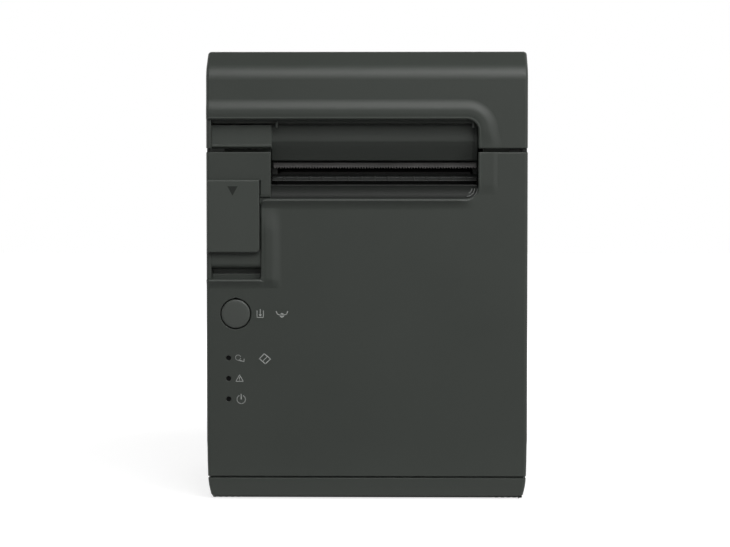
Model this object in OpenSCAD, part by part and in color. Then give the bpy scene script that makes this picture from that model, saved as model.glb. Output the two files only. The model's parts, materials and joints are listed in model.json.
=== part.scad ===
// Upright receipt printer with a lift-up roll cover, push-down cover lever,
// thermal head, geared platen and a rack-driven paper cutter.
// Front is -Y, +X is to the right as seen from the front, +Z is up.
// The origin is on the surface that the printer stands on, under its middle.
// The parts are drawn at heights above a datum plane a little under that surface,
// and the last lines set them down by as much.

/* [Body] */
// Width of the printer
body_w = 140; // [138:0.5:144]
// Depth from the face of the cover lever to the back
body_d = 148; // [147:0.5:152]
// Height from the surface to the top of the cover
body_h = 196; // [194.5:0.5:199]
// Wall thickness of the case and the base
case_wall = 2.4; // [2:0.1:2.8]
// Wall thickness of the roll cover
cover_wall = 2.2; // [2:0.1:2.6]
// Height of the seam between the roll cover and the case, above the datum plane
seam_z = 156.6; // [156.4:0.1:156.8]
// Width of that seam
seam_gap = 1.6; // [1.2:0.1:1.8]
// Height of the groove between the case and the base, above the datum plane
base_top_z = 13.4; // [12:0.2:15]
// How far the rubber feet stand out of the base
foot_h = 0.7; // [0.5:0.1:0.8]

/* [Paper path] */
// Width of the paper roll bay
bay_w = 84; // [82:0.5:85]
// Radius of the paper roll bay
bay_r = 44; // [42:0.5:44]
// Sideways offset of the paper path from the middle of the printer
paper_x = 3; // [2.6:0.1:3.4]
// Radius of the rubber on the platen
platen_r = 8; // [7.8:0.05:8]
// Radius of the platen's steel shaft
platen_shaft_r = 3; // [2.6:0.1:3]

/* [Front window] */
// Width of the paper window
window_w = 91; // [90:0.5:92]
// Height of the upper edge of the window, above the datum plane
window_top_z = 170; // [169.6:0.1:171]
// Height of the lower edge of the window, above the datum plane
window_low_z = 135; // [134.6:0.1:135.4]
// Corner radius of the window
window_r = 5; // [4:0.5:6]
// How far the rounded rim round the window stands proud
rim_h = 1.2; // [0.6:0.1:1.6]

/* [Lever] */
// Travel of the cover lever
lever_travel = 5; // [4:0.5:5]
// Height of the lever's face
lever_h = 31.6; // [30:0.2:32]
// Width of the lever's face
lever_w = 23.3; // [22.5:0.1:23.3]

/* [Panel] */
// Radius of the feed button
button_r = 6.5; // [6:0.1:6.5]
// Travel of the feed button
button_travel = 1; // [0.6:0.1:1]
// Spacing of the status lights
light_pitch = 9; // [8:0.25:9.5]

/* [Gears] */
// Module of every gear
gear_m = 0.8; // [0.8:0.1:0.8]
// Travel of the cutter blade
blade_travel = 7; // [6:0.5:7]

/* [Hidden] */
$fn = 48;

// Depth of the datum plane under the surface
datum = 4;

// Faces of the body
half_w = body_w / 2;
lever_proud = 2;
front_y = lever_proud - body_d / 2;
rear_y = body_d / 2;
top_z = body_h + datum;
case_top_z = seam_z - seam_gap / 2;
cover_low_z = seam_z + seam_gap / 2;
groove = 0.8;
case_low_z = base_top_z + groove;
inner_x = half_w - case_wall;
inner_front_y = front_y + case_wall;
inner_rear_y = rear_y - case_wall;

// Shoulder of the cover: an arc, a slope and a small crest
shoulder_r = 9;
shoulder_slope = 35;
crest_r = 4;
crest_y = front_y + 13;
shoulder_cz = top_z - 12.9;
rear_corner_r = 10;

// Hinge barrel of the cover
barrel_r = 7;
barrel_gap = 0.4;
hinge_y = rear_y - barrel_r;
hinge_z = seam_z + 3.4;
hinge_pin_r = 2;
barrel_end = -180 + asin((hinge_z - cover_low_z) / barrel_r);
knuckle_x = 55;
knuckle_w = 4;
knuckle_gap = 0.3;
ear_w = 4;

// Paper window, rim and lever pocket
window_x0 = paper_x - window_w / 2;
window_x1 = paper_x + window_w / 2;
rim_w = 8.2;
low_rim_w = 4.6;
pocket_x0 = -inner_x;
pocket_x1 = window_x0 - 3.4;
pocket_z0 = 100;
pocket_z1 = 143.4;
strip_low_z = window_low_z + 2;

// Lever
lever_x0 = -half_w;
lever_x1 = lever_x0 + lever_w;
lever_z1 = 143.8;
lever_z0 = lever_z1 - lever_h;
stem_x0 = -60.5;
stem_x1 = -52.8;
spring_x = -54.9;
spring_y = -65.2;
spring_seat_z = 116;
stem_z0 = 132.5;
stem_z1 = 138;

// Latch
latch_y = -53.2;
latch_z = 130;
latch_r = 2.5;
latch_arm_y = 11.2;
run = 0.05; // running clearance of shafts and pins

// Roll bay
bay_y = 18;
bay_z = 121;
bay_wall = 1.8;
bay_x0 = paper_x - bay_w / 2;
bay_x1 = paper_x + bay_w / 2;
deck_z = 150;
deck_t = 2;

// Platen, its gear and the side frames
platen_y = -36;
platen_z = 156.1;
arm_x0 = bay_x0 - 5.4;
arm_x1 = bay_x1 + 5.4;
arm_t = 2.5;
frame_x0 = -46.6;
frame_x1 = 52.6;
frame_t = 1.4;
gear_x0 = -52;
gear_t = 4.4;
bush_r = 5;

// Feed gear train: platen, high idler, low idler, motor
platen_teeth = 24;
high_teeth = 32;
low_teeth = 30;
motor_teeth = 16;
motor_y = -38;
motor_z = 92;
motor_r = 15;
stud_r = 2;
high_angle = -77;
high_c = [platen_y, platen_z] + (pitch_r(platen_teeth) + pitch_r(high_teeth)) * [cos(high_angle), sin(high_angle)];
low_c = circles_meet([motor_y, motor_z], pitch_r(motor_teeth) + pitch_r(low_teeth),
    high_c, pitch_r(low_teeth) + pitch_r(high_teeth));
high_phase = mesh_phase(0, platen_teeth, high_teeth, bearing([platen_y, platen_z], high_c));
low_phase = mesh_phase(high_phase, high_teeth, low_teeth, bearing(high_c, low_c));
motor_phase = mesh_phase(low_phase, low_teeth, motor_teeth, bearing(low_c, [motor_y, motor_z]));

// Head
head_x0 = bay_x0 - 1;
head_x1 = bay_x1 + 1;
head_top_z = 147.9;
head_pivot_y = -27.2;
head_pivot_z = 141;
spring_bar_z = 128;
sink_low_z = 139;

// Cutter
cutter_y = -57.1;
blade_t = 0.8;
rack_y0 = -60;
wheel_y0 = -64;
wheel_t = 3;
rack_teeth = 14;
wheel_teeth = 40;
cutter_teeth = 12;
cutter_x = 0;
cutter_z = 116;
cutter_motor_angle = -30;
cutter_motor_c = [cutter_x, cutter_z]
    + (pitch_r(wheel_teeth) + pitch_r(cutter_teeth)) * [cos(cutter_motor_angle), sin(cutter_motor_angle)];
cutter_phase = mesh_phase(0, wheel_teeth, cutter_teeth, cutter_motor_angle);
blade_z0 = 120;
blade_z1 = 144.3;

// Front panel
button_x = -57.2;
button_z = 85.3;
light_x = -60.4;
light_z = [for (i = [0:2]) 66 - i * light_pitch];
light_r = 1.1;

// Rear panel
rear_x = 57;
rear_z0 = 17;
rear_z1 = 81;
rear_recess = 4;

// Colours
case_c = [0.24, 0.25, 0.24];
trim_c = [0.13, 0.13, 0.13];
rubber_c = [0.09, 0.09, 0.09];
steel_c = [0.72, 0.73, 0.74];
gear_c = [0.85, 0.84, 0.8];
board_c = [0.1, 0.35, 0.2];

// ---- Helpers ----------------------------------------------------------------

// Points along an arc in the drawing plane
function arc(c, r, a0, a1, n = 8) = [for (i = [0:n]) c + r * [cos(a0 + (a1 - a0) * i / n), sin(a0 + (a1 - a0) * i / n)]];

// Pitch radius of a gear
function pitch_r(teeth) = gear_m * teeth / 2;

// Bearing of point b from point a
function bearing(a, b) = atan2(b[1] - a[1], b[0] - a[0]);

// Where a circle round a meets a circle round b, on the left of the line from a to b
function circles_meet(a, ra, b, rb) =
    let (d = norm(b - a), along = (d * d + ra * ra - rb * rb) / (2 * d), u = (b - a) / d)
    a + along * u + sqrt(ra * ra - along * along) * [-u[1], u[0]];

// Phase that puts a second gear in mesh with a first, at a bearing from it
function mesh_phase(phase, teeth_a, teeth_b, towards) =
    towards + 180 + (towards - phase) * teeth_a / teeth_b + 180 / teeth_b;

// Half the angle of an involute tooth at radius r
pressure = 20;
backlash = 0.09;
function involute(a) = tan(a) * 180 / PI - a;
function tooth_half(teeth, r) =
    let (rp = pitch_r(teeth), rb = rp * cos(pressure), a = acos(min(1, rb / max(r, rb))))
    90 / teeth - backlash / rp * 180 / PI + involute(pressure) - involute(a);

// Outline of a gear
function gear_points(teeth, phase) =
    let (rp = pitch_r(teeth), root = rp - 1.2 * gear_m, tip = rp + 0.95 * gear_m,
        radii = [root, rp - 0.5 * gear_m, rp, rp + 0.5 * gear_m, tip])
    [for (i = [0:teeth - 1], side = [-1, 1], k = [0:4])
        let (r = radii[side < 0 ? k : 4 - k], a = phase + 360 * i / teeth + side * tooth_half(teeth, r))
        r * [cos(a), sin(a)]];

// A drawing in the (Y, Z) plane, pulled along X
module along_x(x0, x1) {
    translate([x0, 0, 0]) rotate([90, 0, 90]) linear_extrude(x1 - x0) children();
}

// A drawing in the (X, Z) plane, pulled along Y
module along_y(y0, y1) {
    translate([0, y1, 0]) rotate([90, 0, 0]) linear_extrude(y1 - y0) children();
}

// A block between two corners
module slab(x0, x1, y0, y1, z0, z1) {
    translate([x0, y0, z0]) cube([x1 - x0, y1 - y0, z1 - z0]);
}

// Round bars along each axis
module rod_x(y, z, r, x0, x1) {
    translate([x0, y, z]) rotate([0, 90, 0]) cylinder(h = x1 - x0, r = r);
}

module rod_y(x, z, r, y0, y1) {
    translate([x, y0, z]) rotate([-90, 0, 0]) cylinder(h = y1 - y0, r = r);
}

module rod_z(x, y, r, z0, z1) {
    translate([x, y, z0]) cylinder(h = z1 - z0, r = r);
}

// The same piece at left and right
module both_sides() {
    children();
    mirror([1, 0, 0]) children();
}

// Compression spring along Z, with its lower end at the origin
module coil_spring(r, wire, height, turns) {
    sides = 6;
    steps = 12;
    rings = turns * steps;
    points = [for (i = [0:rings], k = [0:sides - 1])
        let (a = 360 * i / steps, rr = r + wire * cos(360 * k / sides))
        [rr * cos(a), rr * sin(a), wire + (height - 2 * wire) * i / rings + wire * sin(360 * k / sides)]];
    walls = [for (i = [0:rings - 1], k = [0:sides - 1])
        let (a = i * sides + k, b = i * sides + (k + 1) % sides)
        [a, a + sides, b + sides, b]];
    first = [for (k = [0:sides - 1]) k];
    last = [for (k = [sides - 1:-1:0]) rings * sides + k];
    polyhedron(points, concat(walls, [first, last]));
}

// ---- Case and base ----------------------------------------------------------

// Side view of the case, with a hollow for the cover's barrel
function case_outline() =
    let (r = barrel_r + barrel_gap, a = asin((case_top_z - hinge_z) / r))
    concat([[rear_y, hinge_z - r], [rear_y, case_low_z], [front_y, case_low_z], [front_y, case_top_z]],
        arc([hinge_y, hinge_z], r, 180 - a, 270));

// Front view of the body's right side near the surface, where it draws in
low_side = [[0, 30], [-0.12, 27], [-0.2, 21], [-0.33, 16.5], [-0.4, 13.8], [-0.6, 11.4],
    [-0.85, 9.7], [-1.2, 7.9], [-1.7, 6], [-2.4, datum + foot_h]];

function front_view() =
    concat([for (p = low_side) [half_w + p[0], p[1]]], [for (i = [len(low_side) - 1:-1:0]) [-half_w - low_side[i][0], low_side[i][1]]],
        [[-half_w, top_z], [half_w, top_z]]);

// Cross-section of the rim, from its inner edge outwards
function rim_section(w, h) =
    concat([[0, -0.6]], [for (i = [0:8]) [w * i / 8, h * sin(22.5 * i)]], [[w, -0.6]]);

module rim_level(x0, x1, z, w, h) {
    along_x(x0, x1) polygon([for (p = rim_section(w, h)) [front_y - p[1], z + p[0]]]);
}

module rim_upright(z0, z1, x, w, h) {
    translate([0, 0, z0]) linear_extrude(z1 - z0)
        polygon([for (p = rim_section(w, h)) [x + p[0], front_y - p[1]]]);
}

// Its ends run a little way inside the straight lengths
module rim_corner(x, z, r, start, w, h) {
    into = 0.6;
    slim = 0.05;
    translate([x, front_y, z]) rotate([90, 0, 0]) rotate([0, 0, start - into])
        rotate_extrude(angle = 90 + 2 * into) translate([r + slim, 0])
        polygon(rim_section(w - 2 * slim, h - slim));
}

// The paper window with its rounded right-hand corners
module window_shape(x0, z0, z1, r_low, r_high) {
    difference() {
        translate([x0, z0]) square([window_x1 - x0, z1 - z0]);
        if (r_low > 0) translate([window_x1, z0]) corner_cut(r_low, 90);
        if (r_high > 0) translate([window_x1, z1]) corner_cut(r_high, 180);
    }
}

// What a fillet of radius r leaves out of a square corner
module corner_cut(r, turn) {
    rotate(turn) difference() {
        translate([-0.01, -0.01]) square(r + 0.01);
        translate([r, r]) circle(r);
    }
}

module main_case() {
    color(case_c) {
        difference() {
            intersection() {
                along_x(-half_w, half_w) polygon(case_outline());
                along_y(front_y, rear_y) polygon(front_view());
            }
            slab(-inner_x, inner_x, inner_front_y, inner_rear_y, 0, top_z);
            along_y(front_y - 3, inner_front_y + 1) {
                window_shape(window_x0, window_low_z, seam_z, window_r, 0);
                translate([pocket_x0, pocket_z0]) square([pocket_x1 - pocket_x0, pocket_z1 - pocket_z0]);
                translate([pocket_x1 - 1, window_low_z])
                    square([window_x0 - pocket_x1 + 2, strip_low_z - window_low_z]);
            }
            rod_y(button_x, button_z, button_r + 0.25, front_y - 1, inner_front_y + 1);
            for (z = light_z) rod_y(light_x, z, light_r, front_y - 1, inner_front_y + 1);
            slab(-half_w - 1, -inner_x + 1, -52, -30, 27, 43);
            slab(-rear_x, rear_x, inner_rear_y - 1, rear_y + 1, rear_z0, rear_z1);
        }
        rim_upright(window_low_z + window_r, case_top_z, window_x1, rim_w, rim_h);
        rim_corner(window_x1 - window_r, window_low_z + window_r, window_r, -90, low_rim_w, rim_h / 2);
        rim_level(pocket_x1, window_x1 - window_r, window_low_z - low_rim_w, low_rim_w, rim_h / 2);
        rim_upright(pocket_z0, window_low_z - low_rim_w, pocket_x1, rim_w, rim_h / 2);
        rim_level(-half_w, pocket_x1, pocket_z0 - low_rim_w, low_rim_w, rim_h / 2);
        both_sides() for (y = screw_y) case_post(y);
        both_sides() {
            seam_lip(inner_x - lip_t, inner_x, -60, 56, inner_x - lip_t, inner_x - lip_in);
            slab(inner_x - lip_t, half_w - 1.2, -60, 56, case_top_z - 0.2, cover_low_z - 0.3);
            slab(inner_x - lip_t, half_w - 0.3, -66, -60, case_top_z - 0.2, cover_low_z - 0.3);
        }
        seam_lip(window_x1 + 2, inner_x, inner_front_y, inner_front_y + lip_t, window_x1 + 2, inner_x - lip_in);
    }
}

// Lip that stands inside the seam, behind the cover's edge
lip_t = 1.6;
lip_in = 0.4;

module seam_lip(x0, x1, y0, y1, tip_x0, tip_x1) {
    slab(x0, x1, y0, y1, seam_z - 6, case_top_z);
    slab(tip_x0, tip_x1, max(y0, inner_front_y + lip_in), y1, seam_z - 6, seam_z + 1.4);
}

// Corner post that takes a base screw
module case_post(y) {
    difference() {
        slab(inner_x - 8, inner_x + 0.5, y - 4.1, y + 4.1, case_low_z, 44);
        rod_z(inner_x - 4, y, 1.5, 0, 28);
    }
}

base_low_z = datum + foot_h;
floor_z = base_low_z + 2.4;
screw_y = [inner_front_y + 4, inner_rear_y - 4];

module base() {
    color(case_c) difference() {
        union() {
            difference() {
                union() {
                    intersection() {
                        along_x(-half_w, half_w) polygon([[front_y + 0.2, base_top_z], [front_y + 0.5, 10],
                            [front_y + 1.1, base_low_z + 1.2], [front_y + 2.2, base_low_z],
                            [rear_y - 1.6, base_low_z], [rear_y - 0.2, base_low_z + 1.6], [rear_y - 0.2, base_top_z]]);
                        along_y(front_y, rear_y) polygon(front_view());
                    }
                    slab(-inner_x + 0.2, inner_x - 0.2, inner_front_y + 0.2, inner_rear_y - 0.2, 8, case_low_z);
                }
                slab(-inner_x + 2, inner_x - 2, inner_front_y + 2, inner_rear_y - 2, floor_z, top_z);
            }
            both_sides() for (y = screw_y)
                slab(inner_x - 8, inner_x - 0.4, y - 3.7, y + 3.7, floor_z - 1, case_low_z);
        }
        both_sides() {
            for (y = screw_y) {
                rod_z(inner_x - 4, y, 1.7, 0, top_z);
                rod_z(inner_x - 4, y, 3.3, 0, base_low_z + 2.9);
            }
            for (y = foot_y) slab(foot_x - 6.5, foot_x + 6.5, y - 6, y + 6, base_low_z - 1, base_low_z + 0.6);
            for (i = [0:4]) slab(foot_x - 5.5 + i * 2.6, foot_x - 4.5 + i * 2.6,
                front_y - 1, front_y + 6, 0, base_low_z + 0.7);
        }
        slab(-21, 21, 9, 31, 0, base_low_z + 1.4);
        slab(-12, 12, 12, 28, 0, floor_z + 4);
        rod_z(17, 20, 1.2, 0, floor_z + 4);
    }
}

foot_x = 60.5;
foot_y = [-58, 56];

// Ribbed rubber foot at each corner
module feet() {
    color(rubber_c) both_sides() for (y = foot_y) difference() {
        slab(foot_x - 6.5, foot_x + 6.5, y - 6, y + 6, datum, base_low_z + 0.6);
        for (i = [0:3]) slab(foot_x - 4.9 + i * 2.6, foot_x - 3.9 + i * 2.6, y - 7, y + 7, 0, datum + 0.4);
    }
}

module base_screws() {
    color(steel_c) both_sides() for (y = screw_y) difference() {
        union() {
            rod_z(inner_x - 4, y, 3, base_low_z + 1.2, base_low_z + 2.9);
            rod_z(inner_x - 4, y, 1.5, base_low_z + 1.2, 25);
        }
        translate([inner_x - 4, y, base_low_z + 1]) {
            translate([-2, -0.4, 0]) cube([4, 0.8, 1]);
            translate([-0.4, -2, 0]) cube([0.8, 4, 1]);
        }
    }
}

// Screwed cover over the setting switches, under the base
module dip_cover() {
    color(case_c) difference() {
        slab(-20.8, 20.8, 9.2, 30.8, base_low_z + 0.1, base_low_z + 1.4);
        rod_z(17, 20, 1.3, 0, base_low_z + 4);
    }
    color(steel_c) {
        rod_z(17, 20, 2.4, base_low_z - 0.3, base_low_z + 0.1);
        rod_z(17, 20, 1.2, base_low_z, base_low_z + 3.4);
    }
}

// ---- Roll cover -------------------------------------------------------------

// Side view of the cover, taken in by t
function cover_top_points(t) =
    let (shoulder_c = [front_y + shoulder_r, shoulder_cz], crest_c = [crest_y, top_z - crest_r],
        rear_c = [rear_y - rear_corner_r, top_z - rear_corner_r], turn = 90 + shoulder_slope)
    concat(arc(shoulder_c, shoulder_r - t, 180, turn, 10), arc(crest_c, crest_r - t, turn, 90, 4),
        arc(rear_c, rear_corner_r - t, 90, 0), [[rear_y - t, hinge_z]]);

module cover_barrel_slot() {
    both_sides() slab(knuckle_x - knuckle_gap, knuckle_x + knuckle_w + knuckle_gap,
        hinge_y - barrel_r - 1, rear_y + 1, hinge_z - barrel_r - 1, hinge_z);
}

module cover_shell() {
    barrel = arc([hinge_y, hinge_z], barrel_r, 0, barrel_end, 16);
    inner_barrel = arc([hinge_y, hinge_z], barrel_r - cover_wall, 0, barrel_end + 8, 12);
    lip = [hinge_y, hinge_z] + 9 * [cos(barrel_end + 8), sin(barrel_end + 8)];
    color(case_c) {
        difference() {
            along_x(-half_w, half_w)
                polygon(concat([[front_y, cover_low_z]], cover_top_points(0), barrel));
            along_x(-half_w + cover_wall, half_w - cover_wall)
                polygon(concat([[front_y + cover_wall, seam_z - 5]], cover_top_points(cover_wall),
                    inner_barrel, [lip, [lip[0], seam_z - 5]]));
            along_y(front_y - 3, front_y + cover_wall + 1)
                window_shape(-half_w + cover_wall, seam_z - 1, window_top_z, 0, window_r);
            cover_barrel_slot();
        }
        difference() {
            both_sides() for (x = [knuckle_x - knuckle_gap - ear_w, knuckle_x + knuckle_w + knuckle_gap])
                rod_x(hinge_y, hinge_z, barrel_r - 0.2, x, x + ear_w);
            rod_x(hinge_y, hinge_z, hinge_pin_r + run, -half_w, half_w);
        }
        rim_level(-half_w, window_x1 - window_r, window_top_z, rim_w, rim_h);
        rim_corner(window_x1 - window_r, window_top_z - window_r, window_r, 0, rim_w, rim_h);
        rim_upright(cover_low_z, window_top_z - window_r, window_x1, rim_w, rim_h);
    }
}

// Inner frame of the cover: side arms, a front beam and a liner over the roll
liner_r = bay_r + 2;
liner_z = 158.8;

module cover_frame() {
    arm = concat([[-57, 150.8], [-46, 150.8], [-42.5, 149.2], [-29.5, 149.2], [-26, liner_z]],
        [[54, liner_z], [59, 163], [57, 178], [40, 190], [-45, 192], [-57, 186]]);
    color(trim_c) difference() {
        union() {
            along_x(arm_x0, arm_x0 + arm_t) polygon(arm);
            along_x(arm_x1 - arm_t, arm_x1) polygon(arm);
            slab(arm_x0, arm_x1, -57, -46, 150.8, 168);
            along_x(arm_x0 + 1, arm_x1 - 1) liner_shape();
            slab(arm_x0 + 1, arm_x1 - 1, -26, -8, liner_z, liner_z + 2);
            for (y = [-40, 0, 40]) slab(arm_x0 + 1, arm_x1 - 1, y, y + 2, 176, 190);
            both_sides() slab(36, 62, -8, 52, 190, top_z - cover_wall);
        }
        rod_x(platen_y, platen_z, bush_r, arm_x0 - 1, arm_x0 + arm_t + 1);
        rod_x(platen_y, platen_z, bush_r, arm_x1 - arm_t - 1, arm_x1 + 1);
    }
}

module liner_shape() {
    intersection() {
        difference() {
            translate([bay_y, bay_z]) circle(liner_r + 2);
            translate([bay_y, bay_z]) circle(liner_r);
        }
        translate([-40, liner_z]) square([100, 60]);
    }
}

// Moulded guide over the paper slot, with a flat pad above the lever
module exit_guide() {
    gap = 0.2;
    color(case_c) {
        along_x(window_x0 + gap, window_x1 - gap) polygon(concat([[-57, 168.4], [-64.6, 168.4]],
            arc([-61, 163.4], 7, 142, 200, 6), [[-65.6, 156.4], [-63.4, 152.6], [-58.6, 152.6], [-58.6, 158], [-57, 158]]));
        slab(-half_w + cover_wall + gap, window_x0 + gap, front_y + 1, front_y + 6, cover_low_z + gap, 168.2);
        slab(-half_w + cover_wall + gap, window_x0 + gap, front_y + 6, -62, 166, 168.2);
        slab(-54, arm_x0, -62, -58, 166, 168.2);
        slab(-54, arm_x0, -62, -58, 160, 166);
        slab(arm_x0 - 1, window_x0 + gap, -62, -57, 160, 168.2);
    }
}

// Toothed tear bar that hangs below the guide
module tear_bar() {
    tooth = 1.5;
    count = floor(bay_w / tooth);
    low = [for (i = [0:count]) each [[bay_x0 + i * tooth, 149.8], [bay_x0 + (i + 0.5) * tooth, 149.1]]];
    color(steel_c) {
        along_y(-63, -62.2) polygon(concat([[bay_x1 + 1, 152.6], [bay_x0 - 1, 152.6], [bay_x0 - 1, 149.8]],
            low, [[bay_x1 + 1, 149.8]]));
        slab(bay_x0 - 1, bay_x1 + 1, -62.2, -58.8, 151.8, 152.6);
    }
}

module fixed_blade() {
    color(steel_c) slab(bay_x0, bay_x1, cutter_y, -48, 149.6, 150.8);
}

module platen_bushes() {
    color(steel_c) for (x = [arm_x0, arm_x1 - arm_t]) difference() {
        rod_x(platen_y, platen_z, bush_r, x, x + arm_t);
        rod_x(platen_y, platen_z, platen_shaft_r + run, x - 1, x + arm_t + 1);
    }
}

module platen_shaft() {
    color(steel_c) rod_x(platen_y, platen_z, platen_shaft_r, -58, 57);
}

module platen_rubber() {
    color(rubber_c) difference() {
        rod_x(platen_y, platen_z, platen_r, bay_x0, bay_x1);
        rod_x(platen_y, platen_z, platen_shaft_r, bay_x0 - 1, bay_x1 + 1);
    }
}

// A gear in the feed train, with a hub bore
module feed_gear(c, teeth, phase, bore) {
    color(gear_c) translate([0, c[0], c[1]]) difference() {
        along_x(gear_x0, gear_x0 + gear_t) polygon(gear_points(teeth, phase));
        rod_x(0, 0, bore, gear_x0 - 1, gear_x0 + gear_t + 1);
    }
}

module platen_gear() {
    feed_gear([platen_y, platen_z], platen_teeth, 0, platen_shaft_r);
}

module hinge_brackets() {
    color(trim_c) both_sides() difference() {
        union() {
            slab(knuckle_x, knuckle_x + knuckle_w, hinge_y - 5.6, hinge_y - 0.4, 138, hinge_z);
            slab(knuckle_x - 2, knuckle_x + knuckle_w + 2, hinge_y - 5.6, inner_rear_y, 138, 142);
            rod_x(hinge_y, hinge_z, 4.6, knuckle_x, knuckle_x + knuckle_w);
        }
        rod_x(hinge_y, hinge_z, hinge_pin_r, knuckle_x - 1, knuckle_x + knuckle_w + 1);
    }
}

module hinge_pins() {
    color(steel_c) both_sides() rod_x(hinge_y, hinge_z, hinge_pin_r, knuckle_x - ear_w, knuckle_x + knuckle_w + ear_w);
}

// ---- Roll bay ---------------------------------------------------------------

guide_slot_w = 4;

module roll_bay() {
    color(trim_c) difference() {
        union() {
            along_x(bay_x0 - bay_wall, bay_x1 + bay_wall) intersection() {
                translate([bay_y, bay_z]) circle(bay_r + bay_wall);
                translate([-80, 0]) square([160, deck_z + 1]);
            }
            slab(-inner_x + 1.8, inner_x - 1.8, -16, 54, deck_z, deck_z + deck_t);
            slab(bay_x0 - bay_wall, bay_x1 + bay_wall, -26, -10, deck_z - 1.8, deck_z);
        }
        rod_x(bay_y, bay_z, bay_r, bay_x0, bay_x1);
        slab(bay_x1 - 44, bay_x1, bay_y - guide_slot_w / 2, bay_y + guide_slot_w / 2, 70, 80);
        slab(bay_x0 - bay_wall - 1, bay_x0 + 1, 12, 24, 96, 104);
    }
}

// Movable partition for narrower rolls, held in the slot by its T-shaped foot
module roll_guide() {
    x0 = bay_x1 - 2.2;
    color(trim_c) {
        along_x(x0, x0 + 2) intersection() {
            translate([bay_y, bay_z]) circle(bay_r - 0.4);
            translate([-80, 0]) square([160, 146]);
        }
        slab(x0, x0 + 2, bay_y - 1.7, bay_y + 1.7, bay_z - bay_r - bay_wall - 0.4, 80);
        slab(x0, x0 + 2, bay_y - 4, bay_y + 4, bay_z - bay_r - bay_wall - 1.8, bay_z - bay_r - bay_wall - 0.3);
    }
}

module near_end_sensor() {
    color(trim_c) {
        slab(bay_x0 - 4.8, bay_x0, 12.2, 23.8, 96.2, 103.8);
        slab(frame_x0 + frame_t, bay_x0 - 1.8, 10, 26, 94, 106);
    }
}

// ---- Side frames ------------------------------------------------------------

module frame_plate(x, studs) {
    plate = [[-60, floor_z], [58, floor_z], [58, 90], [30, 149.8], [-26, 149.8], [-26, 157], [-60, 157]];
    color(steel_c) difference() {
        along_x(x, x + frame_t) polygon(plate);
        slab(x - 1, x + frame_t + 1, platen_y - 5.4, platen_y + 5.4, platen_z, top_z);
        rod_x(platen_y, platen_z, 5.4, x - 1, x + frame_t + 1);
        rod_x(latch_y, latch_z, latch_r + run, x - 1, x + frame_t + 1);
        rod_x(head_pivot_y, head_pivot_z, 1.5 + run, x - 1, x + frame_t + 1);
        if (studs) for (c = [high_c, low_c]) rod_x(c[0], c[1], stud_r, x - 1, x + frame_t + 1);
        if (studs) rod_x(motor_y, motor_z, 5, x - 1, x + frame_t + 1);
    }
}

module left_frame() {
    frame_plate(frame_x0, true);
}

module right_frame() {
    frame_plate(frame_x1 - frame_t, false);
}

// Cross bar that the head springs stand on
module spring_bar() {
    color(steel_c) slab(frame_x0 + frame_t, frame_x1 - frame_t, -48, -31, spring_bar_z - 2, spring_bar_z);
}

// Sloping lip below the paper slot
module exit_tray() {
    gap = 0.2;
    color(case_c) along_x(window_x0 + gap, window_x1 - gap)
        polygon([[front_y + 2.4, window_low_z - 1.4], [front_y + 2.4, window_low_z + 1.6], [front_y + 3.4, window_low_z + 2.6],
            [front_y + 6, window_low_z + 5], [front_y + 8.2, window_low_z + 7.4], [front_y + 10, window_low_z + 7.4],
            [front_y + 10, window_low_z + 4.4], [front_y + 5.4, window_low_z - 1.4]]);
}

// Ribbed lower edge of the paper slot
module lower_guide() {
    color(trim_c) {
        slab(frame_x0 + frame_t, frame_x1 - frame_t, -63.4, -58.5, 143.4, 145.2);
        for (i = [0:14]) slab(bay_x0 + 1.6 + i * 5.7, bay_x0 + 2.6 + i * 5.7, -63.2, -59, 145.2, 145.8);
    }
}

module inner_guide() {
    color(steel_c) slab(frame_x0 + frame_t, frame_x1 - frame_t, -55.9, -47.4, 144.6, 145.8);
}

// ---- Thermal head -----------------------------------------------------------

module thermal_head() {
    color(gear_c) slab(head_x0, head_x1, -46, -30, sink_low_z + 7, head_top_z - 0.5);
    color(trim_c) slab(head_x0 + 1, head_x1 - 1, -38, -34, head_top_z - 0.5, head_top_z);
}

module head_heatsink() {
    color(steel_c) {
        difference() {
            slab(head_x0, head_x1, -45, head_pivot_y, sink_low_z, sink_low_z + 7);
            for (i = [0:7]) slab(head_x0 + 4 + i * 10.5, head_x0 + 10 + i * 10.5, -34, -24, 0, sink_low_z + 5);
        }
        rod_x(head_pivot_y, head_pivot_z, 1.5, frame_x0, frame_x1);
    }
}

head_spring_x = [-28, 34];

module head_springs() {
    color(steel_c) for (x = head_spring_x) translate([x, -40, spring_bar_z])
        coil_spring(3, 0.45, sink_low_z - spring_bar_z, 4);
}

// ---- Feed motor and gears ---------------------------------------------------

module feed_motor() {
    color(steel_c) {
        rod_x(motor_y, motor_z, motor_r, frame_x0 + frame_t, -26);
        rod_x(motor_y, motor_z, 4.9, frame_x0, frame_x0 + frame_t);
        rod_x(motor_y, motor_z, 1, gear_x0 + gear_t + 0.2, frame_x0);
    }
}

module motor_pinion() {
    color(gear_c) {
        translate([0, motor_y, motor_z]) along_x(gear_x0, gear_x0 + gear_t) polygon(gear_points(motor_teeth, motor_phase));
    }
}

module idler_low() {
    feed_gear(low_c, low_teeth, low_phase, stud_r + run);
}

module idler_high() {
    feed_gear(high_c, high_teeth, high_phase, stud_r + run);
}

// Studs that the idlers turn on, with a retaining head
module gear_studs() {
    color(steel_c) for (c = [low_c, high_c]) {
        rod_x(c[0], c[1], stud_r, gear_x0 - 0.2, frame_x0 + frame_t);
        rod_x(c[0], c[1], stud_r + 1.4, gear_x0 - 1, gear_x0 - 0.2);
    }
}

// ---- Cutter -----------------------------------------------------------------

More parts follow.
